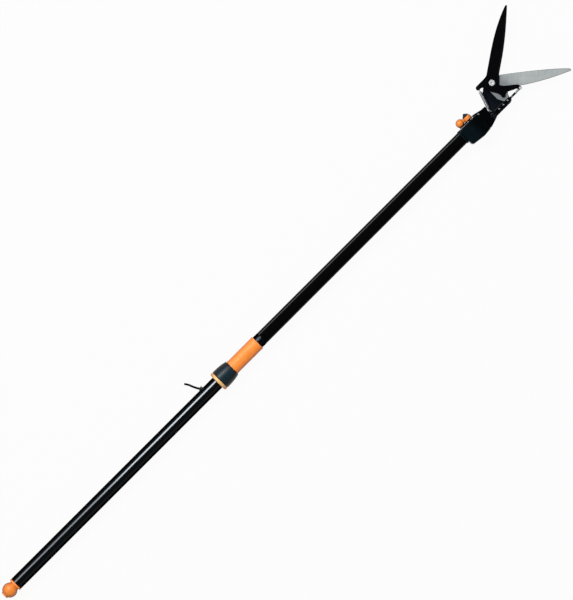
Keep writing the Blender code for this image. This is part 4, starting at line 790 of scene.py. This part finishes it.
def tapering(width, tip, start, power, low, count):
    """Points along a blade whose half width stays until a share of the length and then falls
    to the tip's by a power of the share."""
    share = np.linspace(low, 0.985, count)
    late = np.clip((share - start) / (1 - start), 0, 1)
    return np.stack([share * BLADE_LENGTH, width - (width - tip) * late ** power], -1)


def bevel_push(outline, inner, outer):
    """How far each point of a blade's outline moves in for the bevel: its width on the
    cutting edge, from the inner point to the outer, and less towards the tip."""
    push = np.zeros(len(outline))
    to_tip = BLADE_LENGTH - np.hypot(*(outline[inner:outer] - PIVOT[:2]).T)
    push[inner:outer] = BEVEL_WIDTH * np.clip(to_tip / BEVEL_FADE, 0.1, 1)
    return push


def build_fixed_blade():
    """The ground steel blade with its bevel and its two rivets."""
    share = np.linspace(0.12, 0.985, 60)
    cutting = np.stack([share * BLADE_LENGTH, 17.9 - 10.5 * share ** 1.8 - 2.5 * share ** 8], -1)
    front = turned(cutting, FIXED_ANGLE)[::-1]
    back = turned(tapering(-18.8, -1.5, 0.2, 2.2, 0.30, 50), FIXED_ANGLE)
    tip = turned([(FIXED_TIP - 3.6, -2.3), (FIXED_TIP - 1.2, -1.0), (FIXED_TIP, 0.9),
                  (FIXED_TIP - 1.0, 3.2), (FIXED_TIP - 3.0, 4.8)], FIXED_ANGLE)
    tip = eased(tip, 1.2, closed=False)
    tail = eased([(98.8, -10.2), (116.5, -10.2), (120.0, -2.0), (127.0, 4.0)],
                 [0, 3, 3, 0], closed=False)
    boss = arc(*PIVOT[:2], 14.2, 45, 160, 30)
    side = eased([(92.0, 40.0), (90.2, 33.0), (90.2, 9.2), (91.2, 4.0), (93.6, -1.2)], 1.5,
                 closed=False)
    outline = np.vstack([tail, back, tip, front, boss, side])
    first = len(tail) + len(back) + len(tip)
    push = bevel_push(outline, first, first + len(front) - 1)
    levels = [(FIXED_BASE, push + np.where(push > 0, 0, 0.35)), (FIXED_BASE + 0.35, push * 0.84),
              (FIXED_TOP - 0.5, 0), (FIXED_TOP - 0.35, 0),
              (FIXED_TOP, np.where(push > 0, 1.1, 0.9))]
    holes = [disc(*PIVOT[:2], BOLT_HOLE)] + [disc(x, y, 2.3) for x, y in BLADE_RIVETS]
    piece("fixed_blade", "head", "blade", [plated(outline, levels, holes)],
          sloped="blade_edge", angle=12)
    low, high = WEB_BACK - GAP, FIXED_TOP - 0.2
    profile = [(low - 1.3, 0), (low - 1.1, 2.6), (low, 3.6), (low, 2.0), (high, 2.0), (high, 0)]
    for number, (x, y) in enumerate(BLADE_RIVETS, 1):
        piece(f"blade_rivet_{number}", "head", "blade",
              [revolved(profile, "Z", (x, y, 0), 40, 0.15)])


def build_moving_blade():
    """The coated blade: spine, tip, bevelled edge, chain arm, notch and spring arm."""
    x, y = PIVOT[:2]
    edge = turned(tapering(-14.5, -2.4, 0.35, 1.7, 0.13, 60), OPEN_ANGLE)
    tip = turned([(BLADE_LENGTH - 0.8, -1.9), (BLADE_LENGTH + 0.3, -0.3),
                  (BLADE_LENGTH - 0.6, 1.3)], OPEN_ANGLE)
    back = turned(tapering(17.6, 2.0, 0.3, 2.5, 0.17, 50), OPEN_ANGLE)[::-1]
    top = catmull([(x + 4, y + 24.0), (x - 5, y + 22.3), (x - 20, y + 22.0)])
    arm_end = arc(*SPRING_EYE, 6.6, 92, 215)
    notch = catmull([(x - 32.0, y + 9.8), (x - 27.5, y + 9.2), (x - 24.4, y + 5.2),
                     (x - 24.0, y - 2.0), (x - 18.7, y - 12.9), (x - 13.5, y - 20.7),
                     (x - 8.3, y - 29.8)])
    nub = arc(x - 1.5, y - 43.4, 5.9, 140, 330)
    under = catmull([(x + 8.6, y - 43.8), (x + 16, y - 46.7), (x + 26.8, y - 52.3),
                     (ARM[0] - 9, ARM[1] + 6.2)])
    arm_tip = arc(*ARM, 3.8, 190, 350)
    over = catmull([(x + 46.6, y - 53.6), (x + 44.6, y - 49.6), (x + 40.0, y - 45.8),
                    (x + 32.0, y - 39.4), (x + 20.3, y - 30.0), (x + 15.1, y - 24.8),
                    (x + 9.9, y - 16.8)])
    before = np.vstack([top, arm_end, notch, nub, under, arm_tip, over])
    outline = np.vstack([before, edge, tip, back])
    push = bevel_push(outline, len(before) + 2, len(before) + len(edge))
    levels = [(MOVING_BASE, 0.25), (MOVING_BASE + 0.25, 0), (MOVING_BASE + 0.5, 0),
              (MOVING_TOP - 0.3, push * 0.86), (MOVING_TOP, push + np.where(push > 0, 0, 0.35))]
    holes = [disc(x, y, BOLT_HOLE), disc(*ARM, 2.3), disc(*SPRING_EYE, 1.9)]
    piece("moving_blade", "moving_blade", "coating", [plated(outline, levels, holes)],
          sloped="coating_edge", angle=12)
    low, high = PIN_REACH + GAP, MOVING_TOP + GAP
    lathe("arm_pin", "moving_blade", "bright",
          [(low, 0), (low, 2.0), (high, 2.0), (high, 3.3), (high + 0.6, 3.3), (high + 1.0, 2.8),
           (high + 1.0, 0)], "Z", (*ARM, 0), 48, 0.25)
    low = MOVING_BASE - 0.2
    lathe("spring_post", "moving_blade", "dark_steel",
          [(low, 0), (low, 1.6), (high, 1.6), (high, 2.6), (high + 0.7, 2.2), (high + 0.7, 0)],
          "Z", (*SPRING_EYE, 0), 40, 0.25)


def build_pivot():
    """The blade bolt's domed head with its small recess, its washer and its nut, and the
    bracket with its upper corner and the spring's anchor pin and two eyes."""
    high, top = MOVING_TOP + GAP, WEB_BACK - GAP
    nut_top = top - GAP - 1.2
    low = nut_top - 6.5
    lathe("pivot_bolt", "head", "bright",
          [(low, 0), (low, 3.4), (low + 0.6, 4.0), (high, 4.0), (high, 8.1), (high + 3.2, 8.1),
           (high + 3.9, 7.5), (high + 3.9, 1.9), (high + 2.4, 1.7), (high + 2.4, 0)], "Z",
          PIVOT, 96, 0.15, 20)
    lathe("pivot_washer", "head", "bright", straight(top, top - 1.2, 9.0, BOLT_HOLE), "Z", PIVOT,
          96, 0.25)
    levels = [(nut_top - 5, 0.5), (nut_top - 4.4, 0), (nut_top - 0.6, 0), (nut_top, 0.5)]
    piece("pivot_nut", "head", "bright", [plated(eased(disc(*PIVOT[:2], 7.4, 6), 0.5), levels,
                                                 [disc(*PIVOT[:2], BOLT_HOLE)])])
    low = WEB_BACK + 0.2
    lathe("spring_anchor_pin", "head", "dark_steel",
          [(low, 0), (low, 1.5), (2.4, 1.5), (2.4, 2.4), (3.4, 2.2), (3.4, 0)], "Z",
          (*ANCHOR, 0), 40, 0.25)
    from_cad("head_bracket", "head", "bracket", 0.4)
    corner = eased([(69.0, 36.0), (90.0, 38.0), (96.0, 50.0), (92.0, 56.6), (85.0, 53.6),
                    (78.0, 47.6), (72.6, 44.6)], 1.5)
    piece("bracket_corner", "head", "bracket",
          [slab(corner, WEB_BACK + 0.1, WEB_BACK + 2.7, 0.3)], replaced=["head_bracket"])
    from_cad("spring_eye_lower", "spring_base", "spring", 0.25)
    from_cad("spring_eye_upper", "spring_end", "bright", 0.25)


def build_chain():
    """Seven links, outer and inner in turn: two waisted plates and two pins or bushes."""
    pitch = (ARM[0] - CHAIN_START) / 6
    places = [TRUNNION[0]] + [CHAIN_START + pitch * step for step in range(7)]
    pin = mirrored([(PIN_REACH - 0.3, 1.2), (PIN_REACH - 0.28, 2.1), (PIN_REACH - 0.1, 2.0),
                    (PIN_REACH, 1.7), (PIN_REACH, 0)])
    bush = straight(-1.5, 1.5, 2.3, 1.5)
    for number, (first, second) in enumerate(zip(places, places[1:]), 1):
        outer, middle = number % 2 == 1, (first + second) / 2
        outline = eased(np.vstack([arc(second, CHAIN_Y, LINK_END, -60, 60, 16),
                                   [(middle, CHAIN_Y + LINK_WAIST)],
                                   arc(first, CHAIN_Y, LINK_END, 120, 240, 16),
                                   [(middle, CHAIN_Y - LINK_WAIST)]]), 2.0)
        base = OUTER_BASE if outer else INNER_BASE
        holes = [] if outer else [disc(x, CHAIN_Y, 1.5, 20) for x in (first, second)]
        # Painted light: the last link's plates get a pale lit copy, the others a dark copy for
        # the channel's shade
        plate = "chain_bright" if number > 6 else "chain_dark"
        shells = []
        for side in (-1, 1):
            low, high = sorted((side * base, side * (base + LINK_PLATE)))
            shells.append((*slab(outline, low, high, 0.15, holes), plate))
        for x in (first, second):
            round_part, ease = (pin, 0.08) if outer else (bush, 0.1)
            shells.append((*revolved(round_part, "Z", (x, CHAIN_Y, 0), 24, ease), "pin_steel"))
        piece(f"chain_link_{number}", "chain", plate, shells)


def build_pull_line():
    """The pull rod, the cable whose strands show as a twisted section, and its eye. The cable
    leaves the rod's end straight and eases across to the chain's line."""
    lathe("pull_rod", "pull_line", "bright", straight(ROD_START, ROD_END, ROD), sides=48,
          ease=0.3)
    stop = TRUNNION[0] - 9.0
    share = np.linspace(0, 1, 240)
    bend = np.clip((share - 0.08) / 0.55, 0, 1)
    path = np.stack([ROD_END + GAP + (stop - 2 * GAP - ROD_END) * share,
                     CHAIN_Y * bend * bend * (3 - 2 * bend), 0 * share], -1)
    turn = np.arange(36) * 2 * np.pi / 36
    strands = 1.42 + 0.08 * np.cos(6 * turn)
    section = np.stack([strands * np.cos(turn), strands * np.sin(turn)], -1)
    piece("pull_cable", "pull_line", "jacket", [carried(path, section)])
    from_cad("cable_eye", "pull_line", "bright", 0.2)


def build_spring():
    """The return spring: a circle of wire carried along a helix that runs from the lower
    eye's shank to the upper one's. The real spring stretches between them as the blade
    closes; this one is built in one fixed shape."""
    start, end = np.array([*ANCHOR, SPRING_Z]), np.array([*SPRING_EYE, SPRING_Z])
    span = np.linalg.norm(end - start)
    forward = (end - start) / span
    side = np.array([-forward[1], forward[0], 0])
    share = np.linspace(0, 1, SPRING_CURLS * 26 + 1)
    turn = 2 * np.pi * SPRING_CURLS * share
    along = SPRING_FIRST + (span - 2 * SPRING_FIRST) * share
    path = (start + along[:, None] * forward + SPRING_MEAN * np.cos(turn)[:, None] * side
            + SPRING_MEAN * np.sin(turn)[:, None] * np.array([0, 0, 1]))
    wire = carried(path, disc(0, 0, SPRING_WIRE, 12), 1.0, forward)
    made = piece("return_spring", None, "spring", [wire])
    ends = [((start + forward * (SPRING_FIRST + shift)) + (0, 0, AXIS)) * MM
            for shift in (2.0, span - 2 * SPRING_FIRST - 2.0)]
    tuple(ends[0])
    tuple(ends[1])
    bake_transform(made)


def finish_bushes():
    """Gives the two bushes, whose CAD shape stays, their material."""
    for name in ("front_bush", "rear_bush"):
        mesh = nodes[name].data
        mesh.materials.clear()
        mesh.materials.append(MAT["black_plastic"])


# ---------------- stage, light and camera

def bright_rays(tree):
    """1 for rays from the camera and those that a metal or a glass sends on, else 0."""
    ray = add(tree, "LightPath")
    both = add(tree, "Math", {0: ray.outputs["Is Camera Ray"], 1: ray.outputs["Is Glossy Ray"]},
               operation="MAXIMUM")
    return add(tree, "Math", {0: both, 1: ray.outputs["Is Transmission Ray"]},
               operation="MAXIMUM")


def build_stage():
    """A pale floor that keeps the object's shadow. To the camera and in metal it is nearly
    white; to other light it is a mid grey, which throws less light up from below."""
    mesh = bpy.data.meshes.new("floor")
    mesh.from_pydata([(x * FLOOR_SIZE, y * FLOOR_SIZE, -FLOOR_DROP)
                      for x, y in ((-1, -1), (1, -1), (1, 1), (-1, 1))], [], [(0, 1, 2, 3)])
    floor = placed("floor", mesh)
    material, tree = new_material("floor_paper")
    paint = add(tree, "BsdfDiffuse", {"Color": (FLOOR_GREY, FLOOR_GREY, FLOOR_GREY, 1)})
    glow = add(tree, "Emission", {"Color": (1, 1, 1, 1), "Strength": 1.0})
    share = add(tree, "Math", {0: bright_rays(tree), 1: FLOOR_GLOW}, operation="MULTIPLY")
    add(tree, "OutputMaterial", {0: add(tree, "MixShader", {0: share, 1: paint, 2: glow})})
    mesh.materials.append(material)


def build_world():
    """Dim above, paler towards the horizon, white where the camera looks past the floor. The
    soft fill that matt surfaces get from all round is added for their rays only."""
    world = bpy.data.worlds.new("studio")
    bpy.context.scene.world = world
    world.use_nodes = True
    tree = world.node_tree
    tree.nodes.clear()
    where = add(tree, "TexCoord")
    split = add(tree, "SeparateXYZ", {0: where.outputs["Generated"]})
    sky = add(tree, "MapRange", {0: split.outputs["Z"], 1: 0.0, 2: ZENITH_FROM, 3: HORIZON,
                                 4: ZENITH})
    ray = add(tree, "LightPath")
    level = add(tree, "Math", {0: ray.outputs["Is Diffuse Ray"], 1: FILL, 2: sky},
                operation="MULTIPLY_ADD")
    strength = add(tree, "Mix", {0: ray.outputs["Is Camera Ray"], 2: level, 3: 1.0})
    back = add(tree, "Background", {"Color": (1, 1, 1, 1), "Strength": strength})
    add(tree, "OutputWorld", {0: back})


def softbox(name, length, power, middle):
    """A long soft lamp above the tool, turned about the pole by an angle towards +y."""
    lamp = bpy.data.lights.new(name, "AREA")
    lamp.shape = "RECTANGLE"
    lamp.size, lamp.size_y = length, LAMP_WIDTH
    lamp.energy = power
    holder = placed(name, lamp)
    turn = math.radians(LAMP_ANGLE)
    holder.location = (middle, LAMP_DISTANCE * math.sin(turn), LAMP_DISTANCE * math.cos(turn))
    holder.rotation_euler = (-turn, 0, 0)
    holder.visible_camera = False


def build_camera():
    """Straight above the lying tool, turned so that the pole climbs to the upper right."""
    data = bpy.data.cameras.new("camera")
    data.lens, data.sensor_width = LENS, SENSOR
    data.clip_end = 200
    camera = placed("camera", data)
    x, y, z = VIEW_CENTRE
    camera.location = (x, y, z + VIEW_WIDTH * LENS / SENSOR)
    camera.rotation_euler = (0, 0, -TURN)
    bpy.context.scene.camera = camera


build_camera()
build_lower_pole()
build_grip()
build_knob()
build_telescope_lock()
build_upper_pole()
build_housing()
build_clamp()
build_fixed_blade()
build_moving_blade()
build_pivot()
build_chain()
build_pull_line()
build_spring()
finish_bushes()
build_stage()
build_world()
for lamp_name, lamp_values in LAMPS.items():
    softbox(lamp_name, *lamp_values)
bpy.context.scene.view_settings.view_transform = "Standard"
